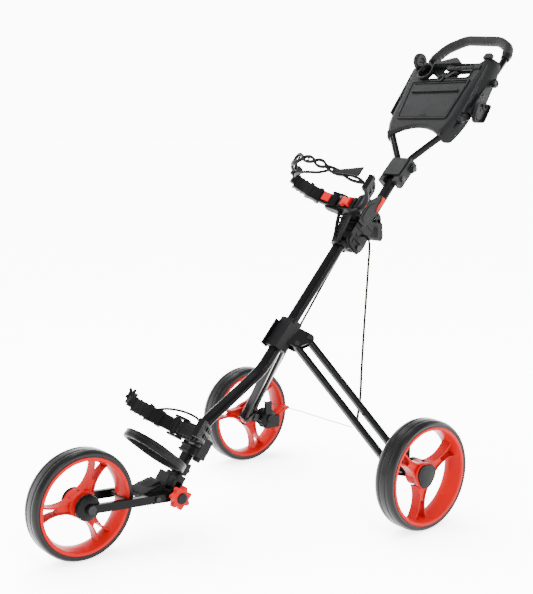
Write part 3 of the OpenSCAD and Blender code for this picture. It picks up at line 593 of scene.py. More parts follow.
def rim_profile(r, w):
    out = r - TYRE_DEPTH
    half = w / 2
    near = [(-0.6, -3.6), (-0.4, -2.2), (1.2, -1.4), (1.4, -0.4), (0.8, 0.1), (-1.6, 0.4), (-4.4, 0.3),
            (-5.8, -0.3), (-6.8, -1.6), (-7.4, -3.6), (-8.8, -8), (-10.6, -15), (-11.8, -21)]
    far = [(-11.9, 18), (-11.2, 14), (-9.8, 7), (-8, 3), (-6.4, 0.9), (-4, -0.2), (-1.2, -0.2), (1.1, 0.3),
           (1.2, 1.5), (-0.4, 2.4), (-0.6, 4)]
    return ([(out + a, half + z) for a, z in near] + [(out - 12.2, 0)]
            + [(out + a, z - half) for a, z in far])


def spoke_parts(r):
    """One spoke along +x: two flared ribs with a sunken web between them near the hub."""
    inner = r - TYRE_DEPTH - 9
    hub = 24.0
    centre = (hub + inner) / 2 - 2
    scoop = (inner - hub) * 0.95
    waist = 10.0
    top, foot = 11.0, -15.0

    def half_width(x):
        return waist + scoop - math.sqrt(max(scoop ** 2 - (x - centre) ** 2, 0))

    count = 16
    reach = [hub + 3 + (inner - 3.5 - hub) * k / count for k in range(count + 1)]
    parts = []
    for sy in (-1, 1):
        rings = []
        for x in reach:
            y = half_width(x)
            thick = 3.6 + 1.6 * abs(x - centre) / (inner - centre)
            section = [(y, top - 1), (y - 0.9, top), (y - thick + 0.9, top), (y - thick, top - 1),
                       (y - thick - 0.8, foot), (y + 0.8, foot)]
            rings.append([(x, sy * a, z) for a, z in section])
        parts.append(loft(rings))
    near = reach[:9]
    web = [(x, -half_width(x) + 2) for x in near] + [(near[-1] - 5, 0)]
    web += [(x, half_width(x) - 2) for x in reversed(near)]
    parts.append(slab(web, foot + 3, top - 3.4))
    return parts


def lobed_outline(size):
    """Rounded triangle with its corners at 0, 120 and 240 degrees."""
    steps = 60
    made = []
    for k in range(steps):
        a = 2 * math.pi * k / steps
        swell = 0.5 + 0.5 * math.cos(3 * a)
        r = size * (0.79 + 0.13 * swell ** 0.8)
        made.append((r * math.cos(a), r * math.sin(a)))
    return made


def rim_part(r, w, turn, hub_back):
    hub = lathe([(9, 12), (23, 12), (24.5, 10), (25.5, 2), (27, -8), (29.5, -18), (30.5, -w / 2 + 4),
                 (30.5, hub_back), (26, hub_back - 0.6), (9, hub_back - 0.6)], 72)
    flange = domed(lobed_outline(38), [(1, 2), (1.0, 12.6), (0.985, 14.2), (0.95, 15), (0.6, 15)])
    parts = [lathe(rim_profile(r, w), 144), hub, turned(flange, turn)]
    for k in range(3):
        parts += [turned(p, turn + 120 * k) for p in spoke_parts(r)]
    return joined(*parts)


def wheel(name, r, w, turn, matrix):
    body = name + "_wheel"
    seat = r - TYRE_DEPTH
    build(name + "_tread", tyre_part(r, w), matrix, "foam_tyre", body, (name + "_tyre",))
    build(name + "_spoked_rim", rim_part(r, w, turn, -w / 2 + 3), matrix, "red_plastic", body,
          (name + "_rim",), bevel=0.8, bevel_steps=2, angle=50)
    # The two inner seams where the foam sits in the rim
    for word, sign in (("far", -1), ("near", 1)):
        seam = lathe([(seat - 0.2, sign * (w / 2 - 2.4)), (seat + 2.4, sign * (w / 2 - 1.2)),
                      (seat + 2.4, sign * (w / 2 - 3.4))], 144)
        build(name + "_" + word + "_seam", seam, matrix, "foam_tyre", body)


FRONT_HUB = across((0, -FORK_LEN, 0))


def wheels():
    wheel("front", FRONT_R, FRONT_W, FRONT_TURN, FORK @ FRONT_HUB)
    for word, left, turn in (("left", True, LEFT_TURN), ("right", False, RIGHT_TURN)):
        place = side(left) @ across((REAR_TRACK / 2, 0, REAR_R))
        wheel(word, REAR_R, REAR_W, turn, place)
        build(word + "_domed_cap", turned(domed(lobed_outline(34), HUB_CAP_STEPS), turn), place,
              "grey_plastic", word + "_wheel", (word + "_hub_cap",))


def front_hub_domes():
    dome = lathe([(9, 27.8), (27.6, 27.8), (28.8, 28.6), (29, 33), (28.5, 37), (26.6, 39.6), (21, 41),
                  (20, 42.6), (14, 43.4), (0.01, 43.8)])
    rib = lathe([(29.2, 29.4), (30.4, 30), (30.4, 31.6), (29.2, 32.2)])
    build("front_hub_domes", both_sides(moved(joined(dome, rib), FRONT_HUB)), FORK, "black_plastic", "fork",
          ("front_hub_covers",))


# ---- Tubes and grip ----
HANDLE_ROUTE = [(14, 30, -5), (21, 62, -9), (84, 134, -19), (122, 182, -20), (131, 250, -20), (131, 436, -20),
                (113, 474, -16), (64, 508, -12)]
LOOP_RISE = 14
LOOP_TOP_Z = 470
GRIP_FIRST = 5
GRIP_END = 5
RIDGE_PITCH, RIDGE_RUN = 14.0, 44


def main_tube():
    route = smooth_route([TUBE_START, BEND_A, BEND_B, TUBE_END], 26, 14)
    build("bent_main_tube", sweep(route, rounded_rect(MAIN_W, MAIN_D, 7.2, 10)), PLAIN, "black_metal",
          "frame", ("main_tube",), bevel=0.8, bevel_steps=2, angle=60)


def loop_route(first):
    """The handle's route from its corner number first on the left, over the top, to the same on the right."""
    half = [Vector((x, y, z)) for x, z, y in HANDLE_ROUTE[first:]]
    return half + [Vector((-p.x, p.y, p.z + (LOOP_RISE if p.z > LOOP_TOP_Z else 0))) for p in reversed(half)]


def handle_tube():
    route = evenly(smooth_route(loop_route(0), 18, 12), 4)
    build("bent_handle_tube", sweep(route, circle(HANDLE_R, 28), (0, 1, 0)), HANDLE, "black_metal", "handle",
          ("handle_tube",))


def foam_grip():
    grip = evenly(smooth_route(loop_route(GRIP_FIRST), 18, 12), 1.5)
    total = length_of(grip)

    def section(s):
        """Round foam with a flat on its back and finger ridges on its inner side."""
        end = min(s, total - s)
        swell = 1.0
        if end <= GRIP_END:
            swell = 0.86 + 0.14 * math.sqrt(max(1 - (1 - end / GRIP_END) ** 2, 0))
        ridge = (0.5 - 0.5 * math.cos(2 * math.pi * end / RIDGE_PITCH)) * (2.2 if end < RIDGE_RUN else 0.6)
        made = []
        for k in range(32):
            a = 2 * math.pi * k / 32
            inner = max(math.cos(a - math.radians(70)), 0) ** 2
            back = max(math.cos(a - math.radians(250)), 0) ** 6
            r = GRIP_R * swell * (1 - 0.07 * back) - 1.2 * ridge * inner
            made.append((r * math.cos(a), r * math.sin(a)))
        return made

    build("foam_handle_grip", sweep(grip, section, (0, 1, 0)), HANDLE, "foam_grip", "handle",
          ("handle_grip",))


def grip_collars():
    """Plastic collars that close the grip's ends."""
    for word, sx in (("right", -1), ("left", 1)):
        low = [Vector((sx * 131, -20, z)) for z in (424, 437)]
        build(word + "_grip_collar", sweep(low, circle(12.6, 32), (0, 1, 0)), HANDLE, "black_plastic",
              "handle", bevel=1.6)


# ---- Cables ----
RIGHT_CABLE = [(-272, -2, 196), (-240, 6, 250), (-180, 18, 350), (-120, 30, 450), (-60, 42, 550),
               (-14, 52, 626)]
LEFT_CABLE = [(24, 92, 676), (40, 96, 672), (56, 91, 654), (66, 78, 590), (84, 52, 463), (104, 26, 350),
              (132, -4, 282), (162, -40, 252), (184, -64, 243)]
CROSS_WIRE = [(182, -80, 228), (60, -54, 216), (-60, -30, 206), (-180, -9, 194), (-266, 4, 186)]
CABLE_R = 3.1
WIRE_R = 1.2


def metres(p):
    return PLAIN @ Vector(p) * MM


def declared(route, matrix=PLAIN):
    """A cord that leaves the object at the route's first point and goes back into it at the last."""
    # Brings the route to metres in the shared frame and measures it, but keeps nothing.
    path = [matrix @ Vector(p) * MM for p in route]
    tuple(path[0])
    length_of(path)


def brake_cable(word, corners, spacing, ref, leg, steady, carried):
    """A cable swept along the corners and baked where it is built; it goes with neither the frame nor the
    leg, and steady and carried change nothing.
    """
    route = curve(corners, spacing)
    piece = build(word + "_cable_run", sweep(route, circle(CABLE_R, 12), ref), PLAIN, "cable_jacket",
                  ("frame", leg, metres(steady), metres(carried)), (word + "_brake_cable",))
    declared(route)


def wire_half(word, route, leg, steady, carried, replaces=()):
    piece = build("cross_wire_" + word, sweep(route, circle(WIRE_R, 8), (0, 0, 1)), PLAIN, "bright_steel",
                  ("frame", leg, metres(steady), metres(carried)), replaces, look="wire")
    declared(route)


def cables():
    brake_cable("right", RIGHT_CABLE, 6, (0, 1, 0), "right_rear_leg", (-60, 42, 550), (-250, 4, 232))
    brake_cable("left", LEFT_CABLE, 5, (1, 0, 0), "left_front_leg", (80, 58, 490), (156, -32, 256))
    route = evenly([Vector(p) for p in CROSS_WIRE], 12)
    half = len(route) // 2
    wire_half("left", route[:half + 1], "left_front_leg", route[half], CROSS_WIRE[0], ("cross_wire",))
    wire_half("right", route[half:], "right_rear_leg", route[half], CROSS_WIRE[-1])


# ---- Star knob ----
def star_outline(scale):
    made = []
    for k in range(140):
        a = 2 * math.pi * k / 140
        lobe = 0.5 + 0.5 * math.cos(7 * a)
        r = scale * (21.2 + 7.2 * lobe ** 1.2)
        made.append((r * math.cos(a), r * math.sin(a)))
    return made


def star_knob():
    rings = [(0.9, 0), (0.97, 0.8), (1, 2.6), (1, 13.2), (0.97, 15.2), (0.9, 16.2), (0.62, 16.6), (0.6, 16.2),
             (0.2, 16.2)]
    body = loft([[(x, y, z) for x, y in star_outline(k)] for k, z in rings])
    collar = lathe([(5.2, -2), (14.6, -2), (15, -1.4), (15, 0.6), (5.2, 0.6)], 64)
    cap = lathe([(0.01, 19.9), (9, 19.9), (11.6, 19.6), (12.8, 18.8), (13, 17.6), (13, 15.8), (0.01, 15.8)],
                72)
    place = FORK @ across((52, 0, 0))
    build("star_knob_body", joined(body, collar), place, "red_plastic", "star_knob", ("star_knob",))
    build("star_knob_cap", cap, place, "grey_plastic", "star_knob")


# ---- Console ----
DECK_TIP = 7.1
DECK_FACE = -42.0
DECK_HINGE = Matrix.Translation((0, DECK_FACE, 190))
DECK = HANDLE @ DECK_HINGE @ Matrix.Rotation(math.radians(DECK_TIP), 4, "X") @ DECK_HINGE.inverted()
DECK_SIDE = [(99, 126), (106, 133), (113, 147), (121, 166), (127, 187), (130, 212), (131, 240), (132, 262),
             (136, 286), (139, 312), (141, 340), (142, 366), (141, 380), (136, 389), (127, 394), (112, 396),
             (104, 393), (99, 385), (95, 375)]
TRAY_AT = (0, 342)


def deck_outline():
    """Outline of the console's face, anticlockwise, with how far the crown reaches in at each point."""
    right = [(p.x, p.y) for p in evenly([Vector((x, z, 0)) for x, z in DECK_SIDE], 3)]
    top = [(x, 374) for x in range(88, -89, -8)]
    left = [(-x, z) for x, z in reversed(right)]
    arch = [(x, 12 + math.sqrt(148 ** 2 - x ** 2)) for x in range(-94, 95, 4)]
    crown = [1.0] * len(right) + [0.35] * len(top) + [1.0] * len(left) + [0.3] * len(arch)
    for _ in range(8):
        crown = [(crown[i - 1] + crown[i] + crown[(i + 1) % len(crown)]) / 3 for i in range(len(crown))]
    return right + top + left + arch, crown


def panel(inset):
    """The scorecard panel's outline, drawn in by inset."""
    return rounded_polygon([(-84 + inset, 187 + inset), (84 - inset, 187 + inset), (99 - inset, 309 - inset),
                            (-99 + inset, 309 - inset)], 7)


def on_deck(name, part, slot="grey_plastic", **more):
    build(name, part, DECK, slot, "handle", **more)


def on_handle(name, part, slot="black_plastic", body="handle", **more):
    build(name, part, HANDLE, slot, body, **more)


def console_crown():
    line, crown = deck_outline()
    normals = inward(line)

    def deck_ring(inset, drop):
        return [(x + nx * inset * k, DECK_FACE + drop * k, z + nz * inset * k)
                for (x, z), (nx, nz), k in zip(line, normals, crown)]

    skin = [(26, 0), (19, 0.8), (12, 3.6), (6, 8), (1.5, 14), (-1.5, 21), (-3.5, 30), (-4, 38), (-1.4, 38),
            (-0.9, 30), (1.2, 22), (6, 13), (14, 8), (26, 4)]
    rings = [deck_ring(a, b) for a, b in skin]
    band = loft(rings + [rings[0]], capped=False)
    half = [(84, 140), (98, 160), (105, 190), (107, 240), (111, 300), (116, 345), (117, 362), (108, 368)]
    arch = [(-70, 149), (-45, 158), (-22, 163), (0, 165), (22, 163), (45, 158), (70, 149)]
    inner = half + [(-x, z) for x, z in reversed(half)] + arch
    deck = plate(inner, [rounded_rect(186, 46, 11, 6, TRAY_AT)], DECK_FACE + 0.1, DECK_FACE + 4)
    on_deck("console_crown", joined(band, deck), replaces=("console_shell",), bevel=0.7, bevel_steps=2,
            angle=45)


def console_tray():
    """The tray with its windows, and the cross bar, Y support and boss over it."""
    windows = [rounded_rect(50, 25, 6, 5, (63, 331)), rounded_rect(34, 22, 6, 5, (-52, 336)),
               rounded_rect(18, 10, 4, 4, (-12, 356))]
    floor = plate(rounded_rect(190, 50, 12, 6, TRAY_AT), windows, -30, -27)
    wall = ring(rounded_rect(189, 49, 12.5, 6, TRAY_AT), rounded_rect(184, 44, 10, 6, TRAY_AT), -44.2, -27)
    on_deck("console_tray", joined(floor, wall), bevel=0.8, bevel_steps=2)
    boss = moved(lathe([(0.01, 3), (6, 3), (6.6, 0), (10.4, 0), (11, 1), (11, 17), (0.01, 17)], 40),
                 facing((0, -49, 316)))
    arms = [bar((0, -38, 316), (x, -38, z), 8, 9, (0, 1, 0)) for x, z in ((-40, 341), (38, 346), (0, 296))]
    beam = bar((2, -41, 353), (116, -41, 353), 9, 14, (0, 1, 0), 3)
    on_deck("tray_support", joined(boss, beam, *arms), "black_plastic", bevel=0.8)
    slots = [block(x, -46.6, 349, x + 14, -45.4, 357) for x in (14, 36, 58, 80)]
    on_deck("tray_beam_pads", joined(*slots), bevel=0.6)


def console_tabs():
    tab = rounded_polygon([(-56, 366), (42, 366), (38, 374), (22, 387), (8, 387), (-30, 378), (-56, 375)], 4)
    on_deck("console_back_tab", face_slab(tab, -49, -32), "black_plastic", bevel=1.6)
    corner = rounded_polygon([(104, 384), (135, 384), (134, 396), (128, 401), (108, 401)], 4)
    on_deck("console_corner_tab", both_sides(face_slab(corner, -43, -33)), bevel=1.5)


def deck_holders():
    """The ball ring, the loop at the deck's edge and the row of tee holders."""
    loop = moved(lathe([(20, 1), (21.4, 0), (24.6, 0), (26, 1.4), (26, 12), (20, 12)], 72),
                 facing((-66, -55, 340)))
    on_deck("ball_ring", joined(loop, block(-96, -46, 335, -84, -36, 345)), "black_plastic", bevel=0.7)
    ear = lathe([(10, -6), (11, -7), (21, -7), (23, -5), (23, 5), (21, 7), (11, 7), (10, 6)], 48)
    ear_loop = joined(moved(ear, across((-110, -50, 378))), block(-116, -44, 352, -104, -30, 378))
    on_deck("ear_loop", ear_loop, "black_plastic", bevel=1.2)
    tee = lathe([(0.01, 1.6), (2.4, 1.6), (2.8, 0), (4, 0), (4.4, 0.8), (4.4, 5), (0.01, 5)], 24)
    tees = [moved(tee, facing((-121 - (z - 262) * 0.1, -40.6, z))) for z in range(262, 345, 15)]
    on_deck("tee_holders", joined(*tees), "black_plastic")


def scorecard():
    """The lid with its grip ridge, and the raised frame around it."""
    on_deck("panel_frame", ring(panel(-5), panel(0.4), -45.4, -40), bevel=1.3)
    lid = face_slab(panel(1.6), -44, -41.2)
    ridge = face_slab(rounded_rect(168, 6, 2.4, 4, (0, 274)), -49, -43)
    lip = bar((-92, -44.6, 303), (92, -44.6, 303), 4.4, 4.4, (0, 1, 0), 2)
    thumb = face_slab(rounded_rect(22, 6, 3, 4, (0, 196)), -45.4, -43)
    build("scorecard_panel", joined(lid, ridge, lip, thumb), DECK, "grey_plastic", "scorecard_lid",
          ("scorecard_lid",), bevel=1.0)


def deck_webs():
    """Webs that carry the deck on the handle tube, the wall beside them and the holder's pivot."""
    web = side_slab([(-22, 208), (-19, 372), (-56, 378), (-60, 360), (-40, 208)], 128, 134)
    saddle = lathe([(9, -9), (12.4, -9), (12.4, 9), (9, 9)], 40)
    saddles = [shifted(saddle, (131, -20, z)) for z in (226, 352)]
    on_handle("deck_webs", both_sides(joined(web, *saddles)), "grey_plastic", bevel=1.2)
    wall = side_slab(rounded_polygon([(8, 232), (8, 262), (-12, 350), (-34, 350), (-30, 232)], 8), 137, 143)
    on_handle("deck_side_wall", wall, "grey_plastic", bevel=1.4)
    pin = lathe([(4, 0), (9, 0), (9, 4.6), (4, 4.6), (4, 11), (0.01, 11), (0.01, 0)], 40)
    on_handle("holder_pivot", moved(pin, across((143, -8, 246))), bevel=0.6)


def side_knob():
    steps, flutes = 96, 8
    fluted = []
    for k in range(steps):
        a = 2 * math.pi * k / steps
        r = 10.4 + 1.5 * max(math.cos(flutes * a), -0.5)
        fluted.append((r * math.cos(a), r * math.sin(a)))
    knob = domed(fluted, [(0.9, 5), (1, 6), (1, 14.6), (0.92, 16), (0.6, 16.4), (0.5, 15.6), (0.1, 15.6)])
    stem = lathe([(0.01, 0), (5, 0), (5, 6), (0.01, 6)], 24)
    on_handle("side_knob_fluted", moved(joined(knob, stem), across((144.4, -22, 330))), body="side_knob",
              replaces=("side_knob",))


def accessory_scoop():
    scoop = rounded_polygon([(-36, 247), (8, 280), (20, 226), (-4, 203), (-16, 204)], 9)
    hollow = rounded_polygon([(-32, 246), (6, 275), (17, 228), (-5, 207), (-14, 208)], 9)
    inset = rounded_polygon([(-27, 243), (3, 266), (12, 229), (-5, 213)], 7)
    points, faces = ring(scoop, hollow, 0, 9)
    wall = ([(160 - y, x, z) for x, y, z in points], faces)
    collar = moved(lathe([(4.4, -1), (10, -1), (10, 6), (4.4, 6)], 32), across((149, -4, 262)))
    holder = joined(side_slab(scoop, 148, 151.5), wall, side_slab(inset, 151, 153), collar)
    on_handle("accessory_scoop", holder, "grey_plastic", "umbrella_holder", replaces=("umbrella_holder",),
              bevel=1.0)


def studs_and_ring():
    """The studs at the console's edge, and the wire ring on its lug."""
    stud = lathe([(0.01, 0), (8.6, 0), (9.4, 1), (9.4, 9), (7.6, 11), (0.01, 11)], 32)
    studs = [moved(stud, across((132, y, z))) for y, z in ((-36, 186), (-26, 202))]
    on_handle("console_edge_studs", joined(*studs), bevel=0.8)
    hoop = [Vector((152, -32 + y, 271 + z)) for y, z in circle(7, 40)]
    on_handle("wire_ring", sweep(hoop, circle(1.3, 10), (1, 0, 0), True), "black_steel")
    on_handle("ring_lug", block(143, -34, 276, 154, -30, 282), "grey_plastic", bevel=1)


# ---- Bag cradles, the hoop and the foot of the main tube ----
ARM_H = 38.0
BAG_R, BAG_Y, ARM_Z = 150.0, -240.0, 58.0
LOW_BAG_R, LOW_BAG_Y, LOW_ARM_Z = 155.0, -185.0, -34.0
HINGE_X = 52.0
HINGE_BACK = math.cos(math.radians(19))
HINGE_Y = BAG_Y + (BAG_R + 5.5) * HINGE_BACK
LOW_HINGE_Y = LOW_BAG_Y + (LOW_BAG_R + 5.5) * HINGE_BACK
HOOP_Z = -106.0
STRAP_PATH = [(-126, -196), (-100, -232), (-62, -250), (-22, -250), (14, -236), (44, -212), (78, -196),
              (106, -184), (122, -176)]
STRAP_KNOTS = [0, 0.14, 0.36, 0.5, 0.62, 0.8, 1.0]
STRAP_SPREADS = [8, 15, 8, 9, 6, 6]
STRAP_Z, STRAP_DROP = 80, 12


def around(r, degrees, z, bag_y):
    """A point on the bag's circle, by its angle from the trolley's middle towards +X."""
    a = math.radians(degrees)
    return Vector((r * math.sin(a), bag_y + r * math.cos(a), z))


def arc_box(r0, r1, a0, a1, z0, z1, bag_y, steps=12):
    """A block bent around the bag's circle."""
    rings = []
    for k in range(steps + 1):
        a = a0 + (a1 - a0) * k / steps
        rings.append([around(r, a, z, bag_y) for r, z in ((r0, z0), (r1, z0), (r1, z1), (r0, z1))])
    return loft(rings)


def knuckle(z0, hinge_y):
    top = z0 + ARM_H
    barrel = lathe([(3, z0), (9, z0), (9.6, z0 + 1), (9.6, top - 1), (9, top), (3, top)], 40)
    return shifted(barrel, (HINGE_X, hinge_y, 0))


def ladder_arm(r, bag_y, z0, hinge_y):
    """A cradle arm of rails and rungs, with a hinge knuckle and a hooked tip."""
    rows = ((0, 5.5), (ARM_H / 2 - 3, ARM_H / 2 + 3), (ARM_H - 5.5, ARM_H))
    parts = [arc_box(r, r + 12, 22, 66, z0 + low, z0 + high, bag_y) for low, high in rows]
    parts.append(arc_box(r + 0.5, r + 3.5, 20, 66, z0 + 2, z0 + ARM_H - 2, bag_y))
    parts += [arc_box(r + 0.2, r + 11.4, a, a + 2.2, z0 + 1, z0 + ARM_H - 1, bag_y, 2)
              for a in range(24, 67, 7)]
    parts.append(arc_box(r - 1, r + 14, 64, 70, z0 - 2, z0 + ARM_H + 2, bag_y, 3))
    parts.append(arc_box(r + 4, r + 11, 12, 24, z0 + 3, z0 + ARM_H - 3, bag_y, 3))
    return joined(*parts, knuckle(z0, hinge_y))


def ribbed_arm(r, bag_y, z0, hinge_y):
    """The far arm: a deep box with stepped ribs, a neck and a buckle tower at its tip."""
    top = z0 + ARM_H
    mid = z0 + ARM_H / 2
    boxes = [(0, 13, 14.5, 34, z0 + 1, top - 3, 12), (-3, 17, 33, 37, z0 - 2, top, 3),
             (-1, 16, 36, 45, z0, top - 2, 12), (-4, 18, 44, 48, z0 - 1, top + 1, 3),
             (-1, 14, 47, 62, z0 + 2, top - 2, 12)]
    boxes += [(-3, 16, a, a + 2, z0 + 1, top - 1, 2) for a in (51, 55.5, 60)]
    boxes += [(2, 17, a, a + 1.6, mid - 9, mid + 9, 2) for a in (38.5, 41.5)]
    boxes.append((-2, 11, 62, 67, z0 + 8, top + 6, 3))
    parts = [arc_box(r + r0, r + r1, a0, a1, low, high, bag_y, steps)
             for r0, r1, a0, a1, low, high, steps in boxes]
    return joined(*parts, knuckle(z0, hinge_y))


def strap_height(share):
    """The strap's height over the fold frame's origin, which falls from the far arm to the near one."""
    return STRAP_Z + STRAP_DROP * (1 - share)


def strap_cord(path, total, sign):
    """One of the strap's two cords: it swings away from the other and back in each cell."""
    made, run = [], 0.0
    for i, p in enumerate(path):
        run += (p - path[i - 1]).length if i else 0
        share = min(run / total, 0.9999)
        cell = max(k for k in range(6) if STRAP_KNOTS[k] <= share)
        within = (share - STRAP_KNOTS[cell]) / (STRAP_KNOTS[cell + 1] - STRAP_KNOTS[cell])
        swap = 1 if cell % 2 else -1
        lift = STRAP_SPREADS[cell] * math.sin(math.pi * within) ** 0.7 if 0 < within < 1 else 0
        made.append(Vector((p.x, p.y, strap_height(share) + sign * swap * lift)))
    return made


def tab_section(length):
    def section(s):
        share = min(s / length, 1)
        return rounded_rect(9 + 19 * share ** 1.3, 4.4, 2, 3)
    return section


def lattice_strap():
    """The elastic strap: two cords that part into ovals and meet in knots, and its pull tab."""
    path = curve([(x, y, 0) for x, y in STRAP_PATH], 2.5, 12)
    total = length_of(path)
    parts = [sweep(strap_cord(path, total, sign), rounded_rect(6.4, 8.6, 2.4, 3), (0, 0, 1))
             for sign in (-1, 1)]
    for share in STRAP_KNOTS[1:6]:
        p = path[round(share * (len(path) - 1))]
        z = strap_height(share)
        parts.append(block(p.x - 5, p.y - 4, z - 4, p.x + 5, p.y + 4, z + 4))
    for share in (0.2, 0.3, 0.43):
        p = path[round(share * (len(path) - 1))]
        z = strap_height(share)
        parts.append(rod((p.x, p.y, z - 12), (p.x, p.y, z + 12), 2.0, 12))
    # A slack inner cord that dips between the knots
    slack = [(-118, -190, 76), (-84, -214, 66), (-40, -226, 64), (0, -220, 70), (30, -214, 84)]
    parts.append(sweep(curve(slack, 3), circle(3.6, 12), (0, 0, 1)))
    knot = [(40, -214, 81), (66, -214, 82), (96, -214, 83), (132, -214, 84), (140, -214, 84)]
    reach = curve(knot, 4)
    tab = sweep(reach, tab_section((reach[-1] - reach[0]).length), (0, 0, 1))
    return joined(tab, *parts)


def hinge_lugs(corners, cut, arm_z):
    """Lugs above and below the arm's knuckle on both sides; corners are on the +x side."""
    lugs = []
    for sx in (-1, 1):
        outline = rounded_polygon([(sx * x, y) for x, y in corners], cut)
        lugs += [slab(outline, z, z + 6) for z in (arm_z - 7, arm_z + ARM_H + 1)]
    return lugs


def at_fold(name, part, slot="black_plastic", body="frame", replaces=(), **more):
    build(name, part, FOLD, slot, body, replaces, **more)


def at_foot(name, part, slot="black_plastic", body="frame", replaces=(), **more):
    build(name, part, LOW, slot, body, replaces, **more)


def cradle_arms():
    near = ladder_arm(BAG_R, BAG_Y, ARM_Z, HINGE_Y)
    at_fold("left_cradle_arm", near, "black_plastic", "left_arm", ("left_arm",), bevel=0.9, bevel_steps=2,
            look="deep_black")
    far = mirrored(ribbed_arm(BAG_R, BAG_Y, ARM_Z, HINGE_Y))
    at_fold("right_cradle_arm", far, "black_plastic", "right_arm", ("right_arm",), bevel=1.3, bevel_steps=2)
    pad = mirrored(arc_box(BAG_R - 5, BAG_R + 3, 22, 31, ARM_Z + 8, ARM_Z + 31, BAG_Y))
    at_fold("arm_release_pad", pad, "red_plastic", "arm_button", ("arm_button",), bevel=3.5, bevel_steps=4)
    # Buckle block and tongue at the tip of the far arm
    tip = around(BAG_R + 2, -66, 0, BAG_Y)
    buckle = [block(tip.x - 9, tip.y - 12, 88, tip.x + 11, tip.y + 6, 112),
              block(tip.x - 5, tip.y - 16, 82, tip.x + 6, tip.y + 8, 94)]
    at_fold("strap_buckle", joined(*buckle), "black_plastic", "right_arm", bevel=2.2)
    at_fold("lattice_strap", lattice_strap(), "strap_rubber", "right_arm", ("bag_strap",), bevel=0.8,
            bevel_steps=2)


def cradle_strut():
    """The V strut down to the collar: two ladder rails that close towards the tube, and a web behind them."""
    strut = []
    for sx in (-1, 1):
        rail = [(21, -80, 56), (17, -72, 30), (12, -62, 2), (9, -54, -22)]
        route = curve([(sx * x, y, z) for x, y, z in rail], 4)
        strut.append(sweep(route, rounded_rect(7, 9, 2, 3)))
    for t in range(7):
        z = 48 - t * 10
        wide = 19 - t * 1.5
        y = -78 + t * 3.6
        strut.append(bar((-wide, y, z), (wide, y, z - 4 * (-1) ** t), 4, 5, (0, 1, 0), 1.2))
    web = evenly([Vector((0, -74, 52)), Vector((0, -66, 24)), Vector((0, -52, -20))], 4)
    strut.append(sweep(web, rounded_rect(22, 4, 1.5, 3)))
    at_fold("cradle_strut", joined(*strut), bevel=0.8)


def cradle_block():
    """The bow-tie button and the block that it sits on."""
    bow = [(-15, 64), (-15, 90), (-8, 90), (-4, 85), (4, 85), (8, 90), (15, 90), (15, 64), (8, 64), (4, 69),
           (-4, 69), (-8, 64)]
    at_fold("bow_button", face_slab(bow, -101, -82), "red_plastic", "cradle_button", ("cradle_button",),
            bevel=2.2, bevel_steps=4)
    body = [block(-34, -90, 58, 34, -54, 96), block(-30, -94, 62, -17, -60, 92),
            block(17, -94, 62, 30, -60, 92), block(-40, -86, 66, 40, -62, 88),
            block(-20, -66, 52, 20, -50, 112)]
    body += [block(x, -91.5, 58.5, x + 3, -89, 95) for x in (-33, -25, 22, 30)]
    rows = [block(32, -88 + 6 * k, 60, 36.5, -85 + 6 * k, 94) for k in range(6)]
    lugs = hinge_lugs([(64, HINGE_Y - 10), (64, HINGE_Y + 12), (20, -62), (20, -88)], 9, ARM_Z)
    at_fold("cradle_body", joined(*body, *rows, *lugs), replaces=("cradle_block",), bevel=1.6)


def strut_collar():
    bands = [shifted(slab(rounded_rect(w, d, r), low, high), (0, -MAIN_BEHIND, 0))
             for w, d, r, low, high in ((46, 30, 9, -26, -14), (50, 34, 10, -20, -17))]
    at_fold("strut_collar", joined(*bands, block(-12, -60, -26, 12, -42, -10)), replaces=("tube_collar",),
            bevel=1.4)


def cradle_cheeks():
    """The cheek plates beside the tube and the red stripes on them."""
    cheek = rounded_polygon([(-52, 50), (-24, 50), (-12, 92), (-10, 128), (-16, 150), (-32, 152), (-50, 120),
                             (-56, 96)], 7)
    inset = rounded_polygon([(-47, 60), (-31, 60), (-22, 94), (-22, 114), (-34, 124), (-46, 108), (-49, 92)],
                            5)
    cheeks = both_sides(joined(side_slab(cheek, 26.5, 31), side_slab(inset, 30.5, 32.6)))
    bridge = block(-30, -52, 98, 30, -45, 122)
    at_fold("cradle_cheek_plates", joined(cheeks, bridge), "grey_plastic", "frame", ("cradle_cheeks",),
            bevel=1.3)
    stripe = rounded_polygon([(-17, 104), (-14, 122), (-11, 140), (-13, 152), (-27, 150), (-22, 138),
                              (-23, 120)], 4)
    wedge = rounded_polygon([(-84, 78), (-60, 84), (-62, 98), (-78, 92)], 3)
    trim = both_sides(joined(side_slab(stripe, 29, 33.2), side_slab(wedge, 35, 38)))
    at_fold("cradle_red_stripes", trim, "red_plastic", "frame", ("cradle_trim",), bevel=1)


def lower_arms():
    far = mirrored(ribbed_arm(LOW_BAG_R, LOW_BAG_Y, LOW_ARM_Z, LOW_HINGE_Y))
    at_foot("lower_right_cradle_arm", far, "black_plastic", "lower_right_arm", ("lower_right_arm",),
            bevel=1.3, bevel_steps=2)
    near = ladder_arm(LOW_BAG_R, LOW_BAG_Y, LOW_ARM_Z, LOW_HINGE_Y)
    at_foot("lower_left_cradle_arm", near, "black_plastic", "lower_left_arm", ("lower_left_arm",), bevel=0.9,
            bevel_steps=2, look="deep_black")


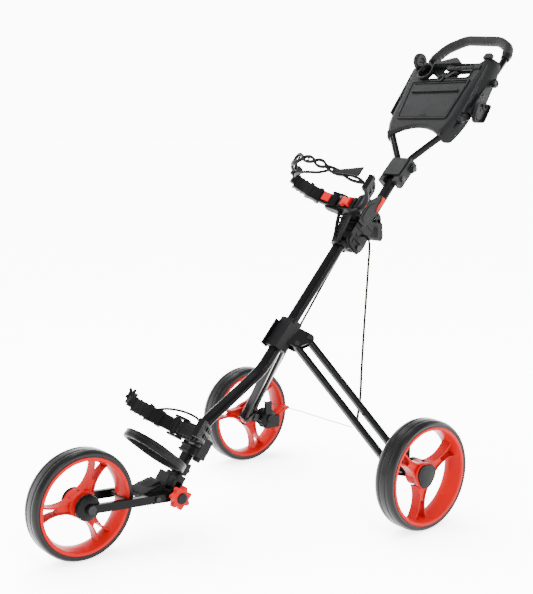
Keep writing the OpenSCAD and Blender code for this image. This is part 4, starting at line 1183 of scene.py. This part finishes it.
def strap_hook():
    """A four-pronged hook at the far arm's tip, and the wire across the arm."""
    top = LOW_ARM_Z + ARM_H
    tip = around(LOW_BAG_R + 4, -66, 0, LOW_BAG_Y)
    hub = Vector((tip.x + 6, tip.y - 8, top - 2))
    prongs = [shifted(lathe([(0.01, -5), (8, -5), (8.6, -4), (8.6, 4), (8, 5), (0.01, 5)], 32), hub)]
    for degrees in (45, 135, 225, 315):
        a = math.radians(degrees)
        prongs.append(bar(hub, hub + 16 * Vector((math.cos(a), -0.2, math.sin(a))), 7, 6, (0, 0, 1), 2))
    prongs.append(block(tip.x - 7, tip.y - 6, LOW_ARM_Z + 12, tip.x + 8, tip.y + 4, top - 2))
    at_foot("strap_hook", joined(*prongs), "black_plastic", "lower_right_arm", bevel=1.2)
    a, b = (around(LOW_BAG_R + 15, -48, z, LOW_BAG_Y) for z in (LOW_ARM_Z - 3, top + 4))
    at_foot("arm_cross_bar", rod(a, b, 2.6, 16), "bright_steel", "lower_right_arm", look="wire")


def elastic_cord():
    """The cord that arches from the arm to the tube clamp."""
    top = LOW_ARM_Z + ARM_H
    route = [around(LOW_BAG_R + 12, -42, top - 4, LOW_BAG_Y), Vector((-84, -50, 14)), Vector((-52, -34, 23)),
             Vector((-18, -20, 24)), Vector((6, -18, 17))]
    line = curve(route, 4)
    piece = build("elastic_cord", sweep(line, circle(3, 12), (0, 0, 1)), LOW, "strap_rubber",
                  "lower_right_arm")
    declared(line, LOW)


def tube_clamp():
    """The ribbed clamp around the tube, its box and the round knob below."""
    clamp = [slab(rounded_rect(50, 31, 9), -62, 6)]
    clamp += [slab(rounded_rect(55, 36, 10), z, z + 5) for z in (-60, -46, -10, 0)]
    clamp += [block(x, -32, -34, x + 6, -14, 4) for x in (-36, -22, -8, 6, 20, 32)]
    clamp += [block(-38, -30, -36, 38, -15, -29), block(-38, -30, 0, 38, -15, 6),
              block(-30, -34, -30, 30, -20, 0)]
    clamp += hinge_lugs([(63, LOW_HINGE_Y - 10), (63, LOW_HINGE_Y + 10), (26, -12), (22, -34)], 8, LOW_ARM_Z)
    at_foot("tube_clamp", joined(*clamp), replaces=("lower_bracket",), bevel=1.2, bevel_steps=2)
    at_foot("clamp_box", block(25, -10, -62, 45, 19, -12), "grey_plastic", bevel=2.4)
    knob = moved(lathe([(0.01, 0), (9, 0), (10, 1), (10, 7), (8, 9), (0.01, 9)], 32),
                 Matrix.Translation((35, 4, -62)) @ Matrix.Rotation(math.pi, 4, "X"))
    at_foot("clamp_box_knob", knob, bevel=0.8)


def base_hoop():
    """The bag's moulded hoop in two layers, and its seat on the tube."""
    tilt = Matrix.Translation((0, -10, HOOP_Z)) @ Matrix.Rotation(math.radians(-5), 4, "X")
    oval = [Vector((x, y - 80, 0)) for x, y in rounded_rect(130, 152, 56, 14)]
    layers = []
    for z, r in ((0, 6.4), (9, 5.4)):
        lane = [tilt @ (p + Vector((0, 0, z))) for p in oval]
        layers.append(sweep(lane, rounded_rect(2 * r, 1.5 * r, 0.7 * r, 5), (0, 0, 1), True))
    at_foot("bag_base_hoop", joined(*layers), replaces=("bag_hoop",))
    arms = [bar(tilt @ Vector((x, -8, 4)), (x * 0.6, -12, HOOP_Z + 8), 12, 16, (1, 0, 0), 4)
            for x in (-20, 20)]
    seat = [slab(rounded_rect(47, 29, 9), HOOP_Z - 6, HOOP_Z + 24),
            slab(rounded_rect(51, 33, 10), HOOP_Z + 4, HOOP_Z + 12)]
    at_foot("hoop_seat", joined(*arms, *seat), bevel=1.4)


def tube_foot():
    shoe = [slab(rounded_rect(50, 33, 9), -156, -114), block(-23, -34, -152, 23, -10, -122),
            block(-25, -18, -150, 25, 14, -128)]
    at_foot("tube_shoe", joined(*shoe), replaces=("fork_knuckle",), bevel=2.4)
    barrel = lathe([(5.2, -38), (15.4, -38), (16, -37), (16, 37), (15.4, 38), (5.2, 38)], 56)
    build("fork_barrel", moved(barrel, across((0, 0, 0))), FORK, "black_plastic", "frame", bevel=0.6)


def fork_cover():
    """The cover that steps down from the tube to the fork, and its rails."""
    slope = side_slab([(-26, -9), (-74, -9), (-84, -2), (-84, 10), (-58, 22), (-34, 27), (-24, 22)], -31, 31)
    step = side_slab([(-40, 20), (-66, 13), (-66, 18), (-44, 30), (-30, 34), (-30, 24)], -20, 20)
    ribs = [side_slab([(-30, 24), (-80, 6), (-82, 10), (-32, 30)], x, x + 3) for x in (-31, -12, 9, 28)]
    cheeks = [block(sx * 36 - 3, -92, -9, sx * 36 + 3, -28, 10) for sx in (-1, 1)]
    build("fork_cover", joined(slope, step, *ribs, *cheeks), FORK, "black_plastic", "fork", ("fork_brace",),
          bevel=1.4)
    rails = [bar((sx * 30, -78, 8), (sx * 34, -128, 4), 5, 7, (1, 0, 0), 1.6) for sx in (-1, 1)]
    rails.append(bar((-34, -126, 4), (34, -126, 4), 6, 7, (0, 1, 0), 2))
    build("fork_rails", joined(*rails), FORK, "grey_plastic", "fork", bevel=0.8)


# ---- Rear hubs ----
def rear_hubs():
    drum_at = across((312, 34, REAR_R - 6))
    for word, left in (("left", True), ("right", False)):
        drum = lathe([(7, -41), (18, -41), (23, -38), (26, -34), (26, -6), (25, -3), (7, -3)], 72)
        fins = [turned(block(23, -1.6, -35, 27.4, 1.6, -6), k) for k in range(-120, 121, 30)]
        cover = lathe([(0.01, -46), (11, -46), (12, -44), (12, -40), (0.01, -40)], 48)
        parts = [moved(joined(drum, *fins), drum_at), block(270, 22, 101, 306, 68, 135),
                 block(264, 13, 147, 272, 34, 181), moved(cover, drum_at)]
        build(word + "_brake_drum", joined(*parts), side(left), "black_plastic", word + "_hub",
              (word + "_brake_housing",), bevel=1.4)


def brake_pedal():
    arm = [(56, 128), (60, 134), (74, 146), (92, 153), (108, 154), (114, 147), (104, 142), (90, 138),
           (80, 126), (74, 108), (74, 90), (62, 84), (58, 94), (60, 110)]
    edge = [(64, 130), (92, 149), (106, 150), (88, 142), (74, 124), (68, 96), (64, 96)]
    pedal = joined(side_slab(rounded_polygon(arm, 3), 279, 299),
                   side_slab(rounded_polygon(edge, 2), 276, 302))
    build("curved_brake_pedal", pedal, side(False), "red_plastic", "brake_pedal", ("brake_pedal",), bevel=1.6)


# ---- Folding channel and its lever ----
def paddle_lever():
    cheek = rounded_polygon([(-4, 103), (-4, 115), (5, 118), (17, 113), (25, 104), (21, 96), (12, 96)], 3)
    outline = [(9.8, 94), (9.8, 104), (20, 107), (33, 103), (56, 80), (60, 70), (55, 63), (44, 65), (24, 88)]
    paddle = side_slab(rounded_polygon(outline, 4), -21, 21)
    rib = rounded_polygon([(22, 105), (34, 106), (60, 81), (63, 69), (56, 72), (31, 99)], 3)
    ribs = [side_slab(rib, x - 3, x + 3) for x in (-15, 0, 15)]
    at_fold("paddle_lever", joined(both_sides(side_slab(cheek, 17, 21)), paddle, *ribs), "grey_plastic",
            "latch_lever", ("latch_lever",), bevel=1.8)


def folding_channel():
    """Folded side plates with rounded corners, ribs and a recessed foot."""
    plate_line = rounded_polygon([(-36, -18), (-50, -8), (-50, 78), (-28, 86), (8, 78), (16, 16), (16, 4),
                                  (8, -18)], 9)
    foot = rounded_polygon([(-30, -14), (-44, -4), (-44, 16), (8, 16), (10, 2), (4, -14)], 5)
    hollow = rounded_polygon([(-24, -8), (-36, -1), (-36, 9), (0, 9), (2, 2), (-2, -8)], 4)
    points, faces = ring(resampled(foot, 40), resampled(hollow, 40), 25.6, 29)
    raised = ([(y, x, z) for x, y, z in points], faces)
    straps = [side_slab([(-48, z), (10, z), (10, z + 3.4), (-48, z + 3.4)], 25.6, 27.6) for z in (38, 62)]
    both = both_sides(joined(side_slab(plate_line, 22.2, 26), raised, *straps))
    front = [block(-26, -50, -4, 26, -46, 78), block(-22, -52, 20, 22, -49, 26),
             block(-22, -52, 44, 22, -49, 50)]
    back = block(-26, -29, -18, 26, -26, 78)
    at_fold("folding_channel", joined(both, back, *front), replaces=("fold_channel",), bevel=1.2,
            bevel_steps=2)


# ---- Studio ----
CAMERA_AT = (1977.4, -1817.6, 948.6)
CAMERA_AZIMUTH, CAMERA_ELEVATION, CAMERA_ROLL = 50.79, 9.12, 0.48
CAMERA_LENS = 63.69
FLOOR_REACH = 60.0
FLOOR_GLOW, HORIZON_GLOW, OVERHEAD_GLOW = 3.4, 11.0, 1.2
SUN = 26.0
# Lamps: place, target, size in metres, and power. The narrow strips draw thin bright lines along the tubes
LAMPS = {
    "key": ((3.0, -1.4, 3.4), (0, 0, 0.5), (1.6, 1.6), 60),
    "fill": ((-2.6, -3.2, 2.4), (0, 0, 0.5), (2.0, 2.0), 40),
    "key_strip": ((3.2, -1.5, 3.1), (0, 0, 0.5), (0.12, 2.4), 260),
    "edge_strip": ((1.5, 3.2, 1.2), (0, 0, 0.7), (0.15, 2.6), 150),
    "top_strip": ((-1.6, 0.4, 3.0), (0, 0, 0.6), (0.3, 2.6), 80),
}


def camera():
    cam = bpy.data.objects.new("camera", bpy.data.cameras.new("camera"))
    bpy.context.scene.collection.objects.link(cam)
    azimuth, elevation, roll = (math.radians(d) for d in (CAMERA_AZIMUTH, CAMERA_ELEVATION, CAMERA_ROLL))
    back = Vector((math.sin(azimuth) * math.cos(elevation), -math.cos(azimuth) * math.cos(elevation),
                   math.sin(elevation)))
    right = (-back).cross(Vector((0, 0, 1))).normalized()
    up = right.cross(-back)
    rolled = right * math.cos(roll) + up * math.sin(roll)
    cam.matrix_world = columns(rolled, back.cross(rolled), back, metres(CAMERA_AT))
    cam.data.sensor_width = 36
    cam.data.lens = CAMERA_LENS
    cam.data.dof.use_dof = False
    bpy.context.scene.camera = cam


def lamp(name, kind, power):
    light = bpy.data.lights.new(name, kind)
    light.energy = power
    made = bpy.data.objects.new(name, light)
    bpy.context.scene.collection.objects.link(made)
    return made, light


def area(name, at, target, size, power):
    made, light = lamp(name, "AREA", power)
    light.shape = "RECTANGLE"
    light.size, light.size_y = size
    made.location = at
    made.rotation_euler = (Vector(target) - Vector(at)).to_track_quat("-Z", "Y").to_euler()


def studio():
    mesh = bpy.data.meshes.new("floor")
    corners = [(-1, -1), (1, -1), (1, 1), (-1, 1)]
    mesh.from_pydata([(sx * FLOOR_REACH, sy * FLOOR_REACH, 0) for sx, sy in corners], [], [(0, 1, 2, 3)])
    floor = bpy.data.objects.new("floor", mesh)
    bpy.context.scene.collection.objects.link(floor)
    m, nodes, links, shader = node_tree("pale_floor")
    shader.inputs["Base Color"].default_value = (0.8, 0.8, 0.8, 1)
    shader.inputs["Roughness"].default_value = 0.8
    shader.inputs["Specular IOR Level"].default_value = 0.0
    shader.inputs["Emission Color"].default_value = (1, 1, 1, 1)
    shader.inputs["Emission Strength"].default_value = FLOOR_GLOW
    mesh.materials.append(m)
    # The world is bright up to the horizon and soft grey overhead, so the lamps give the highlights
    world = bpy.data.worlds.new("studio")
    bpy.context.scene.world = world
    world.use_nodes = True
    nodes, links = world.node_tree.nodes, world.node_tree.links
    split = nodes.new("ShaderNodeSeparateXYZ")
    links.new(nodes.new("ShaderNodeTexCoord").outputs["Generated"], split.inputs["Vector"])
    sky = nodes["Background"]
    sky.inputs["Color"].default_value = (1, 1, 1, 1)
    links.new(ranged(nodes, links, split.outputs["Z"], HORIZON_GLOW, OVERHEAD_GLOW, 0.16, 0.45),
              sky.inputs["Strength"])
    for name, row in LAMPS.items():
        area(name, *row)
    # A very broad sun from the upper left leaves soft shadows around the wheels
    made, sun = lamp("soft_sun", "SUN", SUN)
    sun.angle = math.radians(80)
    made.rotation_euler = Vector((0.35, 0.15, -1)).to_track_quat("-Z", "Y").to_euler()
    made.visible_glossy = False


camera()
for make in (main_tube, wheels, front_hub_domes, handle_tube, foam_grip, grip_collars, cables, star_knob,
             console_crown, console_tray, console_tabs, deck_holders, scorecard, deck_webs, side_knob,
             accessory_scoop, studs_and_ring, cradle_arms, cradle_block, cradle_strut, strut_collar,
             cradle_cheeks, lower_arms, strap_hook, elastic_cord, tube_clamp, base_hoop, tube_foot,
             fork_cover, rear_hubs, brake_pedal, paddle_lever, folding_channel):
    make()
dress_cad_nodes({n for o in bpy.context.scene.objects for n in o.get("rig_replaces", [])})
studio()
